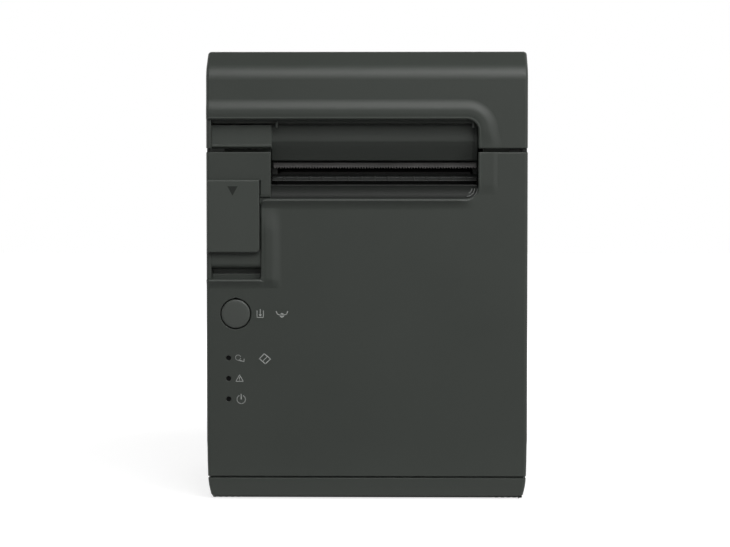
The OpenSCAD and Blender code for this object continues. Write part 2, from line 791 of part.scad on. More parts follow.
module cutter_frame() {
    color(steel_c) {
        difference() {
            slab(frame_x0 + frame_t, frame_x1 - frame_t, cutter_y, cutter_y + 1, 94, 143);
            rod_y(cutter_motor_c[0], cutter_motor_c[1], 3, cutter_y - 1, cutter_y + 2);
        }
        rod_y(cutter_x, cutter_z, stud_r, wheel_y0 - 0.4, cutter_y);
        rod_y(cutter_x, cutter_z, stud_r + 1.2, wheel_y0 - 1.2, wheel_y0 - 0.4);
    }
}

module cutter_motor() {
    color(steel_c) {
        rod_y(cutter_motor_c[0], cutter_motor_c[1], 11, cutter_y + 1, -31);
        rod_y(cutter_motor_c[0], cutter_motor_c[1], 2.9, cutter_y, cutter_y + 1);
    }
}

module cutter_pinion() {
    color(gear_c) {
        translate([cutter_motor_c[0], 0, cutter_motor_c[1]]) {
            along_y(wheel_y0, wheel_y0 + wheel_t) polygon(gear_points(cutter_teeth, cutter_phase));
            rod_y(0, 0, 1.5, wheel_y0 + wheel_t, cutter_y - 0.3);
        }
    }
}

// Wheel and pinion in one, the pinion in mesh with the blade's rack
module cutter_gear() {
    color(gear_c) translate([cutter_x, 0, cutter_z]) difference() {
        union() {
            along_y(wheel_y0, wheel_y0 + wheel_t) polygon(gear_points(wheel_teeth, 0));
            along_y(wheel_y0 + wheel_t, cutter_y - 1) polygon(gear_points(rack_teeth, 180));
        }
        rod_y(0, 0, stud_r + run, wheel_y0 - 1, cutter_y + 1);
    }
}

module moving_blade() {
    color(steel_c) along_y(cutter_y - 0.1 - blade_t, cutter_y - 0.1)
        polygon([[bay_x0 - 1, blade_z0], [bay_x1 + 1, blade_z0], [bay_x1 + 1, blade_z1], [bay_x1 - 2, blade_z1],
            [paper_x, blade_z1 - 3.4], [bay_x0 + 2, blade_z1], [bay_x0 - 1, blade_z1]]);
}

module blade_carriage() {
    pitch = PI * gear_m;
    line = cutter_x - pitch_r(rack_teeth);
    lean = tan(pressure);
    half = pitch / 4 - backlash;
    teeth = [for (i = [4:-1:-6]) let (z = cutter_z + (i - 0.5) * pitch) each [
        [line - gear_m, z + half + gear_m * lean], [line + 0.9 * gear_m, z + half - 0.9 * gear_m * lean],
        [line + 0.9 * gear_m, z - half + 0.9 * gear_m * lean], [line - gear_m, z - half - gear_m * lean]]];
    color(gear_c) along_y(rack_y0, cutter_y - 0.1 - blade_t)
        polygon(concat([[line - 7, 100], [line - 7, 122], [-36, 122], [-36, 130], [42, 130], [42, 126.4],
            [line - gear_m, 126.4]], teeth, [[line - gear_m, 100]]));
}

// ---- Lever and latch --------------------------------------------------------

module open_lever() {
    clear = 0.5;
    color(case_c) {
        difference() {
            slab(lever_x0, lever_x1, front_y - lever_proud, front_y - 0.2, lever_z0, lever_z1);
            along_y(front_y - 3, front_y - lever_proud + 0.3)
                polygon([[-61.6, 141.6], [-57.6, 141.6], [-59.6, 138.4]]);
        }
        slab(pocket_x0 + clear, lever_x1 - 0.2, front_y - 0.2, -70.1, lever_z0 + 0.6, pocket_z1 - clear);
        slab(stem_x0, stem_x1, -70.1, -63.4, stem_z0, stem_z1);
    }
}

// Wall behind the lever: a slot for the stem, a seat for its spring and a finger pocket
module lever_guide() {
    clear = 0.3;
    back_y = inner_front_y + 3.6;
    web_z = lever_z0 - lever_travel - 1;
    color(case_c) difference() {
        union() {
            slab(-inner_x, window_x0 - 0.2, inner_front_y, inner_front_y + 1.8, web_z, 152);
            slab(-inner_x, window_x0 - 0.2, inner_front_y, back_y + 1.8, web_z, web_z + 1.6);
            slab(-inner_x, window_x0 - 0.2, back_y, back_y + 1.8, pocket_z0 - 2.2, web_z);
            slab(-inner_x, window_x0 - 0.2, inner_front_y, back_y + 1.8, pocket_z0 - 4, pocket_z0 - 2.2);
            slab(spring_x - 2.6, spring_x + 2.6, inner_front_y + 1.8, spring_y + 2.6, spring_seat_z - 2, spring_seat_z);
        }
        slab(stem_x0 - clear, stem_x1 + clear, -80, -60, stem_z0 - lever_travel - 0.6, stem_z1 + clear);
        slab(window_x0 - 2.6, window_x0, -80, -60, strip_low_z - 20, strip_low_z + 6);
    }
}

// Return spring of the lever, between the stem and a seat on the case
module lever_spring() {
    color(steel_c) translate([spring_x, spring_y, spring_seat_z]) coil_spring(1.5, 0.3, stem_z0 - spring_seat_z, 6);
}

module latch_shaft() {
    color(steel_c) rod_x(latch_y, latch_z, latch_r, -61, 56.4);
}

module latch_arm() {
    color(trim_c) difference() {
        union() {
            rod_x(latch_y, latch_z, 4.6, -60.6, -57.4);
            slab(-60.6, -57.4, latch_y - latch_arm_y, latch_y, latch_z - 1.5, latch_z + 1.7);
            rod_x(latch_y - latch_arm_y, latch_z + 0.3, 1.8, -60.6, -57.4);
        }
        rod_x(latch_y, latch_z, latch_r, -62, -56);
    }
}

// Hook whose nose stands just in front of the platen shaft
module latch_hook(x0, x1) {
    nose_y = platen_y - platen_shaft_r - 0.4;
    color(steel_c) difference() {
        union() {
            rod_x(latch_y, latch_z, 4.6, x0, x1);
            along_x(x0, x1) polygon([[latch_y - 4, latch_z + 1], [latch_y + 4, latch_z + 1], [-45.4, 150], [-43, 155],
                [nose_y, 157.6], [nose_y, 160.4], [-43.6, 161.6], [-48.6, 156.6], [-51.4, 150]]);
        }
        rod_x(latch_y, latch_z, latch_r, x0 - 1, x1 + 1);
    }
}

module latch_hook_left() {
    latch_hook(-57, -54.4);
}

module latch_hook_right() {
    latch_hook(53.4, 56);
}

// ---- Controls and boards ----------------------------------------------------

module feed_button() {
    color(case_c) {
        rod_y(button_x, button_z, button_r, front_y - 0.2, inner_front_y + 0.2);
        rod_y(button_x, button_z, button_r + 1.3, inner_front_y + 0.2, inner_front_y + 1.4);
        rod_y(button_x, button_z, 2, inner_front_y + 1.4, -62.8);
    }
}

module panel_board() {
    color(board_c) slab(-66, -48, -58.6, -57, 38, 96);
    color(trim_c) {
        slab(button_x - 3, button_x + 3, -61.2, -58.6, button_z - 3, button_z + 3);
        rod_y(button_x, button_z, 1.6, -61.6, -61.2);
        slab(-64, -50, -57, -46, 70, 76);
    }
    color(steel_c) for (y = [40, 92]) slab(-48, frame_x0, -58.6, -57, y, y + 4);
}

// Light pipes from the panel board to the case front
module status_lights() {
    color(trim_c) for (z = light_z) {
        rod_y(light_x, z, light_r, front_y + 0.7, inner_front_y);
        rod_y(light_x, z, light_r + 0.6, inner_front_y, -58.6);
    }
}

rocker_x = -64;
rocker_y = -41;
rocker_z = 35;
rocker_tilt = 10;

module power_switch() {
    color(trim_c) difference() {
        slab(-half_w + 0.4, -52, -51.6, -30.4, 27.4, 42.6);
        slab(-half_w - 1, -58, rocker_y - 8.6, rocker_y + 8.6, rocker_z - 5.6, rocker_z + 5.6);
        rod_y(rocker_x, rocker_z, 1 + run, rocker_y - 9.8, rocker_y + 9.8);
    }
    color(trim_c) slab(-52, frame_x0, -46, -36, 31, 39);
}

module power_rocker() {
    color(trim_c) translate([rocker_x, rocker_y, rocker_z]) rotate([0, rocker_tilt, 0]) {
        along_y(-8.2, 8.2) polygon([[0, -4.6], [-4.6, -4.6], [-4, 0], [-4.6, 4.6], [0, 4.6], [3, 0]]);
        rod_y(0, 0, 1, -9.6, 9.6);
    }
}

module main_board() {
    color(board_c) slab(-44, 50, -50, 50, 12, 13.6);
    color(trim_c) {
        slab(-30, -10, -20, 0, 13.6, 16);
        slab(5, 15, -40, -30, 13.6, 15.4);
        for (x = [20, 34]) rod_z(x, 20, 5, 13.6, 24);
        slab(-39, -31, 2, 30, 13.6, 24);
    }
    color(steel_c) both_sides() for (y = [-45, 45]) rod_z(38, y, 2.5, floor_z, 12);
}

// ---- Rear panel -------------------------------------------------------------

card_x0 = 2;
card_x1 = 53;
card_z0 = 22;
card_z1 = 77;
panel_y = rear_y - rear_recess;
drawer_x = -13;
drawer_z = 32;
inlet_x = -36.8;
inlet_z = 32;
usb_x = 16;
usb_z = 34;
serial_x = 27.5;
serial_z = 60;

module rear_panel() {
    clear = 0.1;
    color(trim_c) difference() {
        slab(-rear_x + clear, rear_x - clear, panel_y - 2, rear_y - 0.4, rear_z0 + clear, rear_z1 - clear);
        slab(-rear_x + 2, rear_x - 2, panel_y, rear_y + 1, rear_z0 + 2, rear_z1 - 2);
        slab(card_x0 + 3, card_x1 - 3, panel_y - 4, panel_y + 1, card_z0 + 2, card_z1 - 2);
        slab(drawer_x - 7.5, drawer_x + 7.5, panel_y - 4, panel_y + 1, drawer_z - 7, drawer_z + 7);
        rod_y(inlet_x, inlet_z, 8, panel_y - 4, panel_y + 1);
        for (x = [card_x0 + 3.5, card_x1 - 3.5]) rod_y(x, 46, 1.5, panel_y - 4, panel_y + 1);
    }
}

// Metal plate of the interface card, with its card behind it
module interface_plate() {
    color(steel_c) difference() {
        slab(card_x0, card_x1, panel_y, panel_y + 1.2, card_z0, card_z1);
        slab(usb_x - 6.2, usb_x + 6.2, panel_y - 1, panel_y + 2, usb_z - 5.7, usb_z + 5.7);
        slab(serial_x - 15.7, serial_x + 15.7, panel_y - 1, panel_y + 2, serial_z - 6.4, serial_z + 6.4);
        for (x = [card_x0 + 3.5, card_x1 - 3.5]) rod_y(x, 46, 1.7, panel_y - 1, panel_y + 2);
    }
    color(board_c) slab(card_x0 + 4, card_x1 - 4, 12, panel_y - 3, 26, 27.6);
    color(steel_c) slab(card_x0 + 4, card_x1 - 4, panel_y - 3, panel_y, 25, 28);
}

module interface_screws() {
    color(steel_c) for (x = [card_x0 + 3.5, card_x1 - 3.5]) {
        rod_y(x, 46, 3, panel_y + 1.2, panel_y + 3.2);
        rod_y(x, 46, 1.5, panel_y - 2, panel_y + 1.2);
    }
}

module usb_socket() {
    color(steel_c) difference() {
        slab(usb_x - 6, usb_x + 6, 54, panel_y + 2.4, usb_z - 5.5, usb_z + 5.5);
        along_y(58, rear_y) polygon([[usb_x - 4.2, usb_z - 3.9], [usb_x + 4.2, usb_z - 3.9], [usb_x + 4.2, usb_z + 2.4],
            [usb_x + 2.6, usb_z + 3.9], [usb_x - 2.6, usb_z + 3.9], [usb_x - 4.2, usb_z + 2.4]]);
    }
    color(trim_c) slab(usb_x - 2.8, usb_x + 2.8, 58, panel_y + 1, usb_z - 1.4, usb_z + 1.4);
    color(steel_c) slab(usb_x - 6, usb_x + 6, 54, 62, 27.6, usb_z - 5.5);
}

module serial_socket() {
    color(steel_c) difference() {
        union() {
            slab(serial_x - 15.4, serial_x + 15.4, 60, panel_y, serial_z - 6.1, serial_z + 6.1);
            along_y(panel_y, rear_y - 0.2) polygon([[serial_x - 8.6, serial_z + 4.4], [serial_x + 8.6, serial_z + 4.4],
                [serial_x + 7.4, serial_z - 4.4], [serial_x - 7.4, serial_z - 4.4]]);
        }
        along_y(panel_y - 4, rear_y) polygon([[serial_x - 8, serial_z + 3.8], [serial_x + 8, serial_z + 3.8],
            [serial_x + 6.9, serial_z - 3.8], [serial_x - 6.9, serial_z - 3.8]]);
    }
    color(gear_c) for (i = [0:8]) rod_y(serial_x - 5.5 + (i % 5) * 2.75 + (i > 4 ? 1.4 : 0),
        serial_z + (i > 4 ? -1.4 : 1.4), 0.5, panel_y - 4, rear_y - 1);
    color(steel_c) for (s = [-1, 1]) rod_y(serial_x + s * 12.4, serial_z, 2.4, panel_y, rear_y - 0.6);
}

module drawer_socket() {
    color(trim_c) difference() {
        slab(drawer_x - 7.2, drawer_x + 7.2, 50, panel_y + 0.8, drawer_z - 6.7, drawer_z + 6.7);
        slab(drawer_x - 4.9, drawer_x + 4.9, 56, rear_y, drawer_z - 3.4, drawer_z + 3.4);
        slab(drawer_x - 1.6, drawer_x + 1.6, 56, rear_y, drawer_z - 5.4, drawer_z);
    }
    color(trim_c) slab(drawer_x - 7.2, drawer_x + 7.2, 44, 50, 13.6, drawer_z + 6.7);
}

module power_inlet() {
    color(trim_c) difference() {
        union() {
            rod_y(inlet_x, inlet_z, 7.8, panel_y - 14, panel_y + 1);
            slab(inlet_x - 6, inlet_x + 6, 44, panel_y - 14, 13.6, inlet_z + 7);
        }
        rod_y(inlet_x, inlet_z, 5.9, panel_y - 9, rear_y);
    }
    color(gear_c) for (a = [90, 210, 330]) rod_y(inlet_x + 4.3 * cos(a), inlet_z + 4.3 * sin(a), 0.8, panel_y - 9, panel_y - 1);
}

// Switch that senses a closed cover, on the right frame
module cover_sensor() {
    color(trim_c) slab(frame_x1, frame_x1 + 6, -20, -8, 134, 148);
}

translate([0, 0, -datum]) {
    main_case();
    base();
    feet();
    base_screws();
    dip_cover();
    cover_shell();
    cover_frame();
    exit_guide();
    tear_bar();
    fixed_blade();
    platen_bushes();
    platen_shaft();
    platen_rubber();
    platen_gear();
    hinge_brackets();
    hinge_pins();
    roll_bay();
    roll_guide();
    near_end_sensor();
    left_frame();
    right_frame();
    spring_bar();
    exit_tray();
    lower_guide();
    inner_guide();
    thermal_head();
    head_heatsink();
    head_springs();
    feed_motor();
    motor_pinion();
    idler_low();
    idler_high();
    gear_studs();
    cutter_frame();
    cutter_motor();
    cutter_pinion();
    cutter_gear();
    moving_blade();
    blade_carriage();
    open_lever();
    lever_guide();
    lever_spring();
    latch_shaft();
    latch_arm();
    latch_hook_left();
    latch_hook_right();
    feed_button();
    panel_board();
    status_lights();
    power_switch();
    power_rocker();
    main_board();
    rear_panel();
    interface_plate();
    interface_screws();
    usb_socket();
    serial_socket();
    drawer_socket();
    power_inlet();
    cover_sensor();
}
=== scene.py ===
"""Dresses the receipt printer: moulded case, roll cover and paper slot in mesh code,
materials for every part, soft light and the camera."""
import json
from math import asin, cos, degrees, hypot, pi, radians, sin, sqrt

import bmesh
import bpy
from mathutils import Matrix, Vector


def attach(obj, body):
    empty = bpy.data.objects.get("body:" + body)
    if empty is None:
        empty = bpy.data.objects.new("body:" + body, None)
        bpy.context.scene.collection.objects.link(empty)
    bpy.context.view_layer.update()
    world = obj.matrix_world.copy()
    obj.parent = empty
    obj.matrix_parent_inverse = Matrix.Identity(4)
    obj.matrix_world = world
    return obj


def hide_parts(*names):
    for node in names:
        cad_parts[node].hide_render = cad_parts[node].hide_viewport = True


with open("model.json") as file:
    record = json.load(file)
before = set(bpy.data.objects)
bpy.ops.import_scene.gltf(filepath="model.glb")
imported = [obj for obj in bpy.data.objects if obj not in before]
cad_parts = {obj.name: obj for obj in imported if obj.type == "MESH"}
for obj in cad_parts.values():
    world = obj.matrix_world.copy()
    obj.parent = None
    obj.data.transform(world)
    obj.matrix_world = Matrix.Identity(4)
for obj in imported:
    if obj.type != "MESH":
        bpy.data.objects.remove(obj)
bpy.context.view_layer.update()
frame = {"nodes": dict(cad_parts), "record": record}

# ---- Sizes of the body, in millimetres ----
# Heights are above a datum plane a little under the surface that the printer stands on.

MM = 0.001
GRID = 10000  # steps in a millimetre on which corners count as the same
DATUM = 4.0
HALF_W = 70.0
FRONT = -72.0
REAR = 74.0
TOP = 200.0
CASE_WALL = 2.4
COVER_WALL = 2.2
CASE_LOW = 14.2
BASE_TOP = 13.4
BASE_LOW = 4.7
FLOOR = 7.1  # top of the base's bottom wall
CASE_TOP = 155.8
COVER_LOW = 157.4
INNER_X = HALF_W - CASE_WALL
INNER_FRONT = FRONT + CASE_WALL
INNER_REAR = REAR - CASE_WALL

# Front view of the body's right side near the surface, where it draws in
LOW_SIDE = [(0, 30), (-0.12, 27), (-0.2, 21), (-0.33, 16.5), (-0.4, 13.8), (-0.6, 11.4),
            (-0.85, 9.7), (-1.2, 7.9), (-1.7, 6), (-2.4, BASE_LOW)]

CORNER_R = 1.5  # rounding of the body's upright corners
EDGE_R = 0.5  # rounding of its other edges
STRIP_R = 0.08  # rounding of the side wall's narrow front
HINGE = (67.0, 160.0)
BARREL_R = 7.0
BARREL_GAP = 0.4

WINDOW_LEFT = -41.4
WINDOW_RIGHT = 48.5
WINDOW_TOP = 170.0
WINDOW_LOW = 135.0
WINDOW_R = 5.0
PAD_TOP = 167.3  # the flat pad left of the paper guide
PAD_DEPTH = 3.6  # how far it lies behind the cover's front
SIDE_INNER = 2.2 - HALF_W  # inner face of the side wall beside the pad and the pocket
PLATE_RIGHT = -41.8  # the case's plate above the lever
PLATE_LOW = 137.0
PLATE_STRIP = -46.4
POCKET_RIGHT = -45.9
POCKET_LOW = 100.0
POCKET_TOP = 143.4
OUT_R = 2.2  # the pocket's outer corner, by the window
IN_R = 1.8  # its inner corner, at its foot

# Middles of the rounded corners at the right of the window and of the pocket
TOP_CORNER = (WINDOW_RIGHT - WINDOW_R, WINDOW_TOP - WINDOW_R)
LOW_CORNER = (WINDOW_RIGHT - WINDOW_R, WINDOW_LOW + WINDOW_R)
OUT_CORNER = (POCKET_RIGHT + OUT_R, WINDOW_LOW - OUT_R)
IN_CORNER = (POCKET_RIGHT - IN_R, POCKET_LOW + IN_R)

BUTTON = (-57.2, 85.3)
BUTTON_HOLE_R = 6.75
LIGHT_X = -60.4
LIGHT_Z = (66.0, 57.0, 48.0)
LIGHT_R = 1.1


# ---- Meshes ----

FLAT_ANGLE = radians(0.3)  # faces that meet at less are one flat face
SHARP_ANGLE = radians(25)  # edges that bend by more get their rounding


def arc(centre, radius, start, end, steps=8):
    """Points along an arc, with its angles in degrees."""
    turns = [radians(start + (end - start) * i / steps) for i in range(steps + 1)]
    return [(centre[0] + radius * cos(a), centre[1] + radius * sin(a)) for a in turns]


def smooth_step(low, high, value):
    """0 at low, 1 at high, with level ends between."""
    share = min(1.0, max(0.0, (value - low) / (high - low)))
    return share * share * (3 - 2 * share)


def lift(axis, a, b, along):
    """A drawing's point, placed along the axis that the drawing is pulled on."""
    return {"x": (along, a, b), "y": (a, along, b), "z": (a, b, along)}[axis]


def prism(axis, outline, low, high):
    """Faces of an outline pulled along an axis."""
    near = [lift(axis, a, b, low) for a, b in outline]
    far = [lift(axis, a, b, high) for a, b in outline]
    count = len(outline)
    sides = [[near[i], near[(i + 1) % count], far[(i + 1) % count], far[i]] for i in range(count)]
    return sides + [near[::-1], far]


def slab(x0, x1, y0, y1, z0, z1):
    """Faces of a block between two corners."""
    return prism("z", [(x0, y0), (x1, y0), (x1, y1), (x0, y1)], z0, z1)


def disc(axis, centre, radius, low, high, steps=48):
    """Faces of a round bar along an axis."""
    return prism(axis, arc(centre, radius, 0, 360, steps)[:-1], low, high)


def solid(name, faces):
    """A closed mesh object from faces given by their corners in millimetres."""
    spots, rings = {}, []
    for face in faces:
        ring = []
        for corner in face:
            spot = spots.setdefault(tuple(round(c * GRID) for c in corner), len(spots))
            if spot not in ring:
                ring.append(spot)
        if len(ring) > 2:
            rings.append(ring)
    mesh = bpy.data.meshes.new(name)
    points = [(x / GRID * MM, y / GRID * MM, (z / GRID - DATUM) * MM) for x, y, z in spots]
    mesh.from_pydata(points, [], rings)
    tidy_mesh(mesh)
    made = bpy.data.objects.new(name, mesh)
    bpy.context.scene.collection.objects.link(made)
    return made


def tidy_mesh(mesh, flatten=False):
    """Merges doubled points, joins flat faces if asked to, and turns all faces outwards."""
    work = bmesh.new()
    work.from_mesh(mesh)
    bmesh.ops.remove_doubles(work, verts=work.verts, dist=1e-6)
    if flatten:
        bmesh.ops.dissolve_limit(work, angle_limit=FLAT_ANGLE, verts=work.verts, edges=work.edges)
    bmesh.ops.recalc_face_normals(work, faces=work.faces)
    work.to_mesh(mesh)
    work.free()


def bake(made):
    """Applies an object's modifiers to its mesh."""
    graph = bpy.context.evaluated_depsgraph_get()
    mesh = bpy.data.meshes.new_from_object(made.evaluated_get(graph))
    made.modifiers.clear()
    made.data = mesh


def joined(name, first, joins=(), cuts=(), within=()):
    """One solid: first and joins together, kept within others, less the cuts."""
    made = solid(name, first)
    tools = []
    for operation, group in (("UNION", joins), ("INTERSECT", within), ("DIFFERENCE", cuts)):
        for faces in group:
            tool = solid(name + ".tool", faces)
            step = made.modifiers.new("step", "BOOLEAN")
            step.operation, step.object, step.solver = operation, tool, "EXACT"
            tools.append(tool)
    if tools:
        bake(made)
    for tool in tools:
        bpy.data.objects.remove(tool)
    tidy_mesh(made.data, flatten=True)
    return made


def round_edges(made, radius_at, widest, steps=4):
    """Rounds each sharp edge of a solid by the radius that radius_at gives for its middle."""
    work = bmesh.new()
    work.from_mesh(made.data)
    weight = work.edges.layers.float.new("bevel_weight_edge")
    for edge in work.edges:
        if len(edge.link_faces) == 2 and edge.calc_face_angle() > SHARP_ANGLE:
            x, y, z = (edge.verts[0].co + edge.verts[1].co) / 2 / MM
            edge[weight] = radius_at(x, y, z + DATUM) / widest
    work.to_mesh(made.data)
    work.free()
    bevel = made.modifiers.new("rounding", "BEVEL")
    bevel.width = widest * MM
    bevel.segments = steps
    bevel.limit_method = "WEIGHT"
    bevel.use_clamp_overlap = False
    bevel.miter_outer = "MITER_SHARP"
    bake(made)
    return smooth(made)


def smooth(made, angle=38):
    """Smooth shading that keeps sharp edges sharp and flat faces flat."""
    made.data.polygons.foreach_set("use_smooth", [True] * len(made.data.polygons))
    made.data.set_sharp_from_angle(angle=radians(angle))
    made.modifiers.new("level faces", "WEIGHTED_NORMAL").keep_sharp = True
    return made


def soften(made, radius, steps=2):
    """Rounds all the sharp edges of a solid by one radius."""
    return round_edges(made, lambda x, y, z: radius, radius, steps)


def tube(name, rings, angle=38):
    """A smooth solid through rings of points, with flat ends."""
    count = len(rings[0])
    faces = [[one[i], one[(i + 1) % count], two[(i + 1) % count], two[i]]
             for one, two in zip(rings, rings[1:]) for i in range(count)]
    return smooth(solid(name, faces + [rings[0][::-1], rings[-1]]), angle)


# ---- Case ----

NEAR = 0.1  # how close to a face still counts as on it
PANEL_TOP = POCKET_LOW - 8  # the button and the lights are below it
ROCKER_HOLE = (-52, -30, 27, 43)  # in the left wall: front, back, low, high
REAR_HOLE = (-57, 57, 17, 81)  # in the back wall: left, right, low, high


def case_outline():
    """Side view of the case, with a hollow for the cover's barrel."""
    reach = BARREL_R + BARREL_GAP
    start = degrees(asin((CASE_TOP - HINGE[1]) / reach))
    return [(REAR, HINGE[1] - reach), (REAR, CASE_LOW), (FRONT, CASE_LOW), (FRONT, CASE_TOP),
            *arc(HINGE, reach, 180 - start, 270, 10)]


def body_block():
    """A block in the front view of the case and base, drawn in near the surface."""
    right = [(HALF_W + out, z) for out, z in LOW_SIDE]
    outline = right + [(-x, z) for x, z in reversed(right)] + [(-HALF_W, TOP), (HALF_W, TOP)]
    return prism("y", outline, FRONT - 1, REAR + 1)


def front_opening():
    """The paper window and the lever's pocket, cut out of the case's front as one."""
    above = CASE_TOP + 4
    return [(WINDOW_RIGHT, above),
            *arc(LOW_CORNER, WINDOW_R, 0, -90),
            *arc(OUT_CORNER, OUT_R, 90, 180),
            *arc(IN_CORNER, IN_R, 0, -90, 6),
            (SIDE_INNER, POCKET_LOW), (SIDE_INNER, POCKET_TOP), (PLATE_STRIP, POCKET_TOP),
            (PLATE_STRIP, PLATE_LOW), (PLATE_RIGHT, PLATE_LOW), (PLATE_RIGHT, above)]


def case_edge(x, y, z):
    """Rounding of the case's edges: none inside, and none where a rim covers them."""
    side, front, back = abs(x) > HALF_W - 0.7, y < FRONT + NEAR, y > REAR - NEAR
    if side and (front or back):
        return CORNER_R
    if front and x < SIDE_INNER + NEAR:
        return STRIP_R
    if front and (x > WINDOW_RIGHT - NEAR or z < LOW_CORNER[1] + NEAR):
        on_plate = x < PLATE_RIGHT + NEAR and z > PLATE_LOW - NEAR
        if x > IN_CORNER[0] - NEAR and not on_plate and PANEL_TOP <= z < CASE_TOP - NEAR:
            return 0
        if abs(x - PLATE_RIGHT) < NEAR or z > CASE_TOP - NEAR:
            return 0.6
        return 0.25 if CASE_LOW + 1 < z < PANEL_TOP else 0.4
    return 0.4 if side or front or back else 0


def beside(side, inner, outer):
    """Low and high x of a stretch on the right (side 1) or the left (side -1)."""
    return sorted((side * inner, side * outer))


def seam_lips():
    """Blocks of the lips that stand in the case and reach up behind the seam."""
    thick, set_in, low, top, ends = 1.6, 0.4, CASE_TOP - 5.2, COVER_LOW + 0.6, (-60, 56)
    inner, sunk, blocks = INNER_X - thick, CASE_TOP - 0.2, []
    for side in (-1, 1):
        blocks += [slab(*beside(side, inner, INNER_X + 0.2), *ends, low, CASE_TOP),
                   slab(*beside(side, inner, INNER_X - set_in), *ends, low + 1, top),
                   slab(*beside(side, inner, HALF_W - 1.2), *ends, sunk, COVER_LOW - 0.3),
                   slab(*beside(side, inner, HALF_W - 0.3), FRONT + 1.8, -64, sunk, COVER_LOW - 0.05)]
    right, wall, back = WINDOW_RIGHT + 2, INNER_FRONT - 0.2, INNER_FRONT + thick
    return blocks + [
        slab(-INNER_X, PLATE_RIGHT - 0.3, -66, -64, low, COVER_LOW - 0.1),
        slab(-INNER_X, -INNER_X + 2, wall, -65, low, sunk),
        slab(right, INNER_X + 0.2, wall, back, low, CASE_TOP),
        slab(right, INNER_X - set_in, INNER_FRONT + set_in, back, low + 1, top)]


def make_case():
    """The case with its openings, and the lips inside its seam."""
    before, behind = FRONT - 1, INNER_FRONT + 1
    shell = joined("case_shell", prism("x", case_outline(), -HALF_W, HALF_W), cuts=[
        slab(-INNER_X, INNER_X, INNER_FRONT, INNER_REAR, 0, TOP),
        prism("y", front_opening(), FRONT - 3, behind),
        disc("y", BUTTON, BUTTON_HOLE_R, before, behind),
        *[disc("y", (LIGHT_X, z), LIGHT_R, before, behind, 20) for z in LIGHT_Z],
        slab(-HALF_W - 1, -INNER_X + 1, *ROCKER_HOLE),
        slab(*REAR_HOLE[:2], INNER_REAR - 1, REAR + 1, *REAR_HOLE[2:])],
        within=[body_block()])
    round_edges(shell, case_edge, CORNER_R)
    first, *others = seam_lips()
    return [shell, smooth(joined("case_seam_lips", first, joins=others))]


def make_seam_posts():
    """Near-black fillings at the seam's two front corners: painted shade, so the seam reads dark."""
    low, high, middle = CASE_TOP - 0.1, COVER_LOW - 0.04, HALF_W - 1.8
    posts = []
    for side in (-1, 1):
        bar = slab(*beside(side, HALF_W - 8, middle), FRONT + 1.4, FRONT + 2, low, high)
        corner = disc("z", (side * middle, FRONT + 1.9), 1.4, low, high, 24)
        posts.append(joined("seam_post", bar, joins=[corner]))
    return posts


def make_plate_foot():
    """The set-back foot of the plate over the slot's left end."""
    left, back = PLATE_STRIP - 0.3, INNER_FRONT - 0.1
    upper = slab(left, PLATE_RIGHT, FRONT + 0.15, back, PLATE_LOW - 0.8, PLATE_LOW + 0.3)
    lower = slab(left, PLATE_RIGHT, FRONT + 0.9, back, WINDOW_LOW - 1.6, PLATE_LOW - 0.4)
    foot = joined("plate_foot", upper, joins=[lower])
    return round_edges(foot, lambda x, y, z: 0.4 if y < FRONT + 0.6 and z < PLATE_LOW else 0.1, 0.4, 3)


# ---- Rims round the window and the lever's pocket ----

RIM_EDGE_R = 0.8  # rounding of a rim's edge at the opening
RIM_STEPS = 18
RIM_LAP = 0.06  # how far a rim reaches over the edge of its opening
RIM_LEG = 0.7  # thickness of a rim's leg inside the opening
RIM_UNDER = 0.4  # how far a rim is sunk into the face that it stands on
HOLLOW = 2.2  # how steeply a hollow foot leaves its crest
SPREAD = 1.4  # how much closer a section's points lie near its edge
BEAD = 0.35  # height of a fine bead along the opening
BEAD_FROM = 1.4  # rims that rise over a longer way than this have the bead
BEAD_END = (0.4, 1.15)  # where it falls away


def profile(edge, crest, start, end, foot, fade=1.0, hollow=False):
    """A rim's height at each distance from the opening: up to a crest, then down to its foot."""
    bead = BEAD if start > BEAD_FROM else 0.0

    def height(d):
        if d >= foot:
            return 0.0
        if d > end and hollow:
            return fade * (crest * ((foot - d) / (foot - end)) ** HOLLOW)
        if d > end:
            return fade * (crest * (0.5 + 0.5 * cos(pi * (d - end) / (foot - end))))
        if d >= start:
            return fade * crest
        rise = sin(pi / 2 * max(0.0, d) / start)
        return fade * (edge + (crest - edge) * rise + bead * (1 - smooth_step(*BEAD_END, d)))
    return height


def rim_ring(place, first, foot, height, drop=0.0, depth=CASE_WALL):
    """One closed section of a rim, from the opening's edge at distance first to its foot."""
    start, leg, edge = first - RIM_LAP, first + RIM_LEG, height(first)
    radius = min(RIM_EDGE_R, 0.4 + edge / 2)
    ring = [place(start, -depth + 0.3)]
    for i in range(7):
        turn = radians(15 * i)
        ring.append(place(start + radius * (1 - cos(turn)), edge - drop - radius * (1 - sin(turn))))
    for i in range(1, RIM_STEPS + 1):
        d = start + radius + (foot - first - radius) * (i / RIM_STEPS) ** SPREAD
        ring.append(place(d, height(d) - drop - 0.002))
    return ring + [place(foot, -RIM_UNDER - drop), place(leg, -RIM_UNDER - drop), place(leg, -depth + 0.3)]


def to_seam(levels, seam):
    """Levels of a rim, and on to the seam, with how far its rounded end drops at each."""
    turns = [radians(90 * i / 4) for i in range(5)]
    side = 1 if seam > levels[-1] else -1
    ends = [(seam - side * EDGE_R * (1 - cos(a)), EDGE_R * (1 - sin(a))) for a in reversed(turns)]
    return [(z, 0.0) for z in levels] + ends


def corner_places():
    """Places of x across the body's rounded left corner."""
    return [-HALF_W + CORNER_R * (1 - cos(radians(15 * i))) for i in range(1, 7)]


def corner_reach(radius, past):
    """How far a rounded corner draws in at a distance past the start of its rounding."""
    return radius - sqrt(radius ** 2 - max(0.0, past) ** 2)


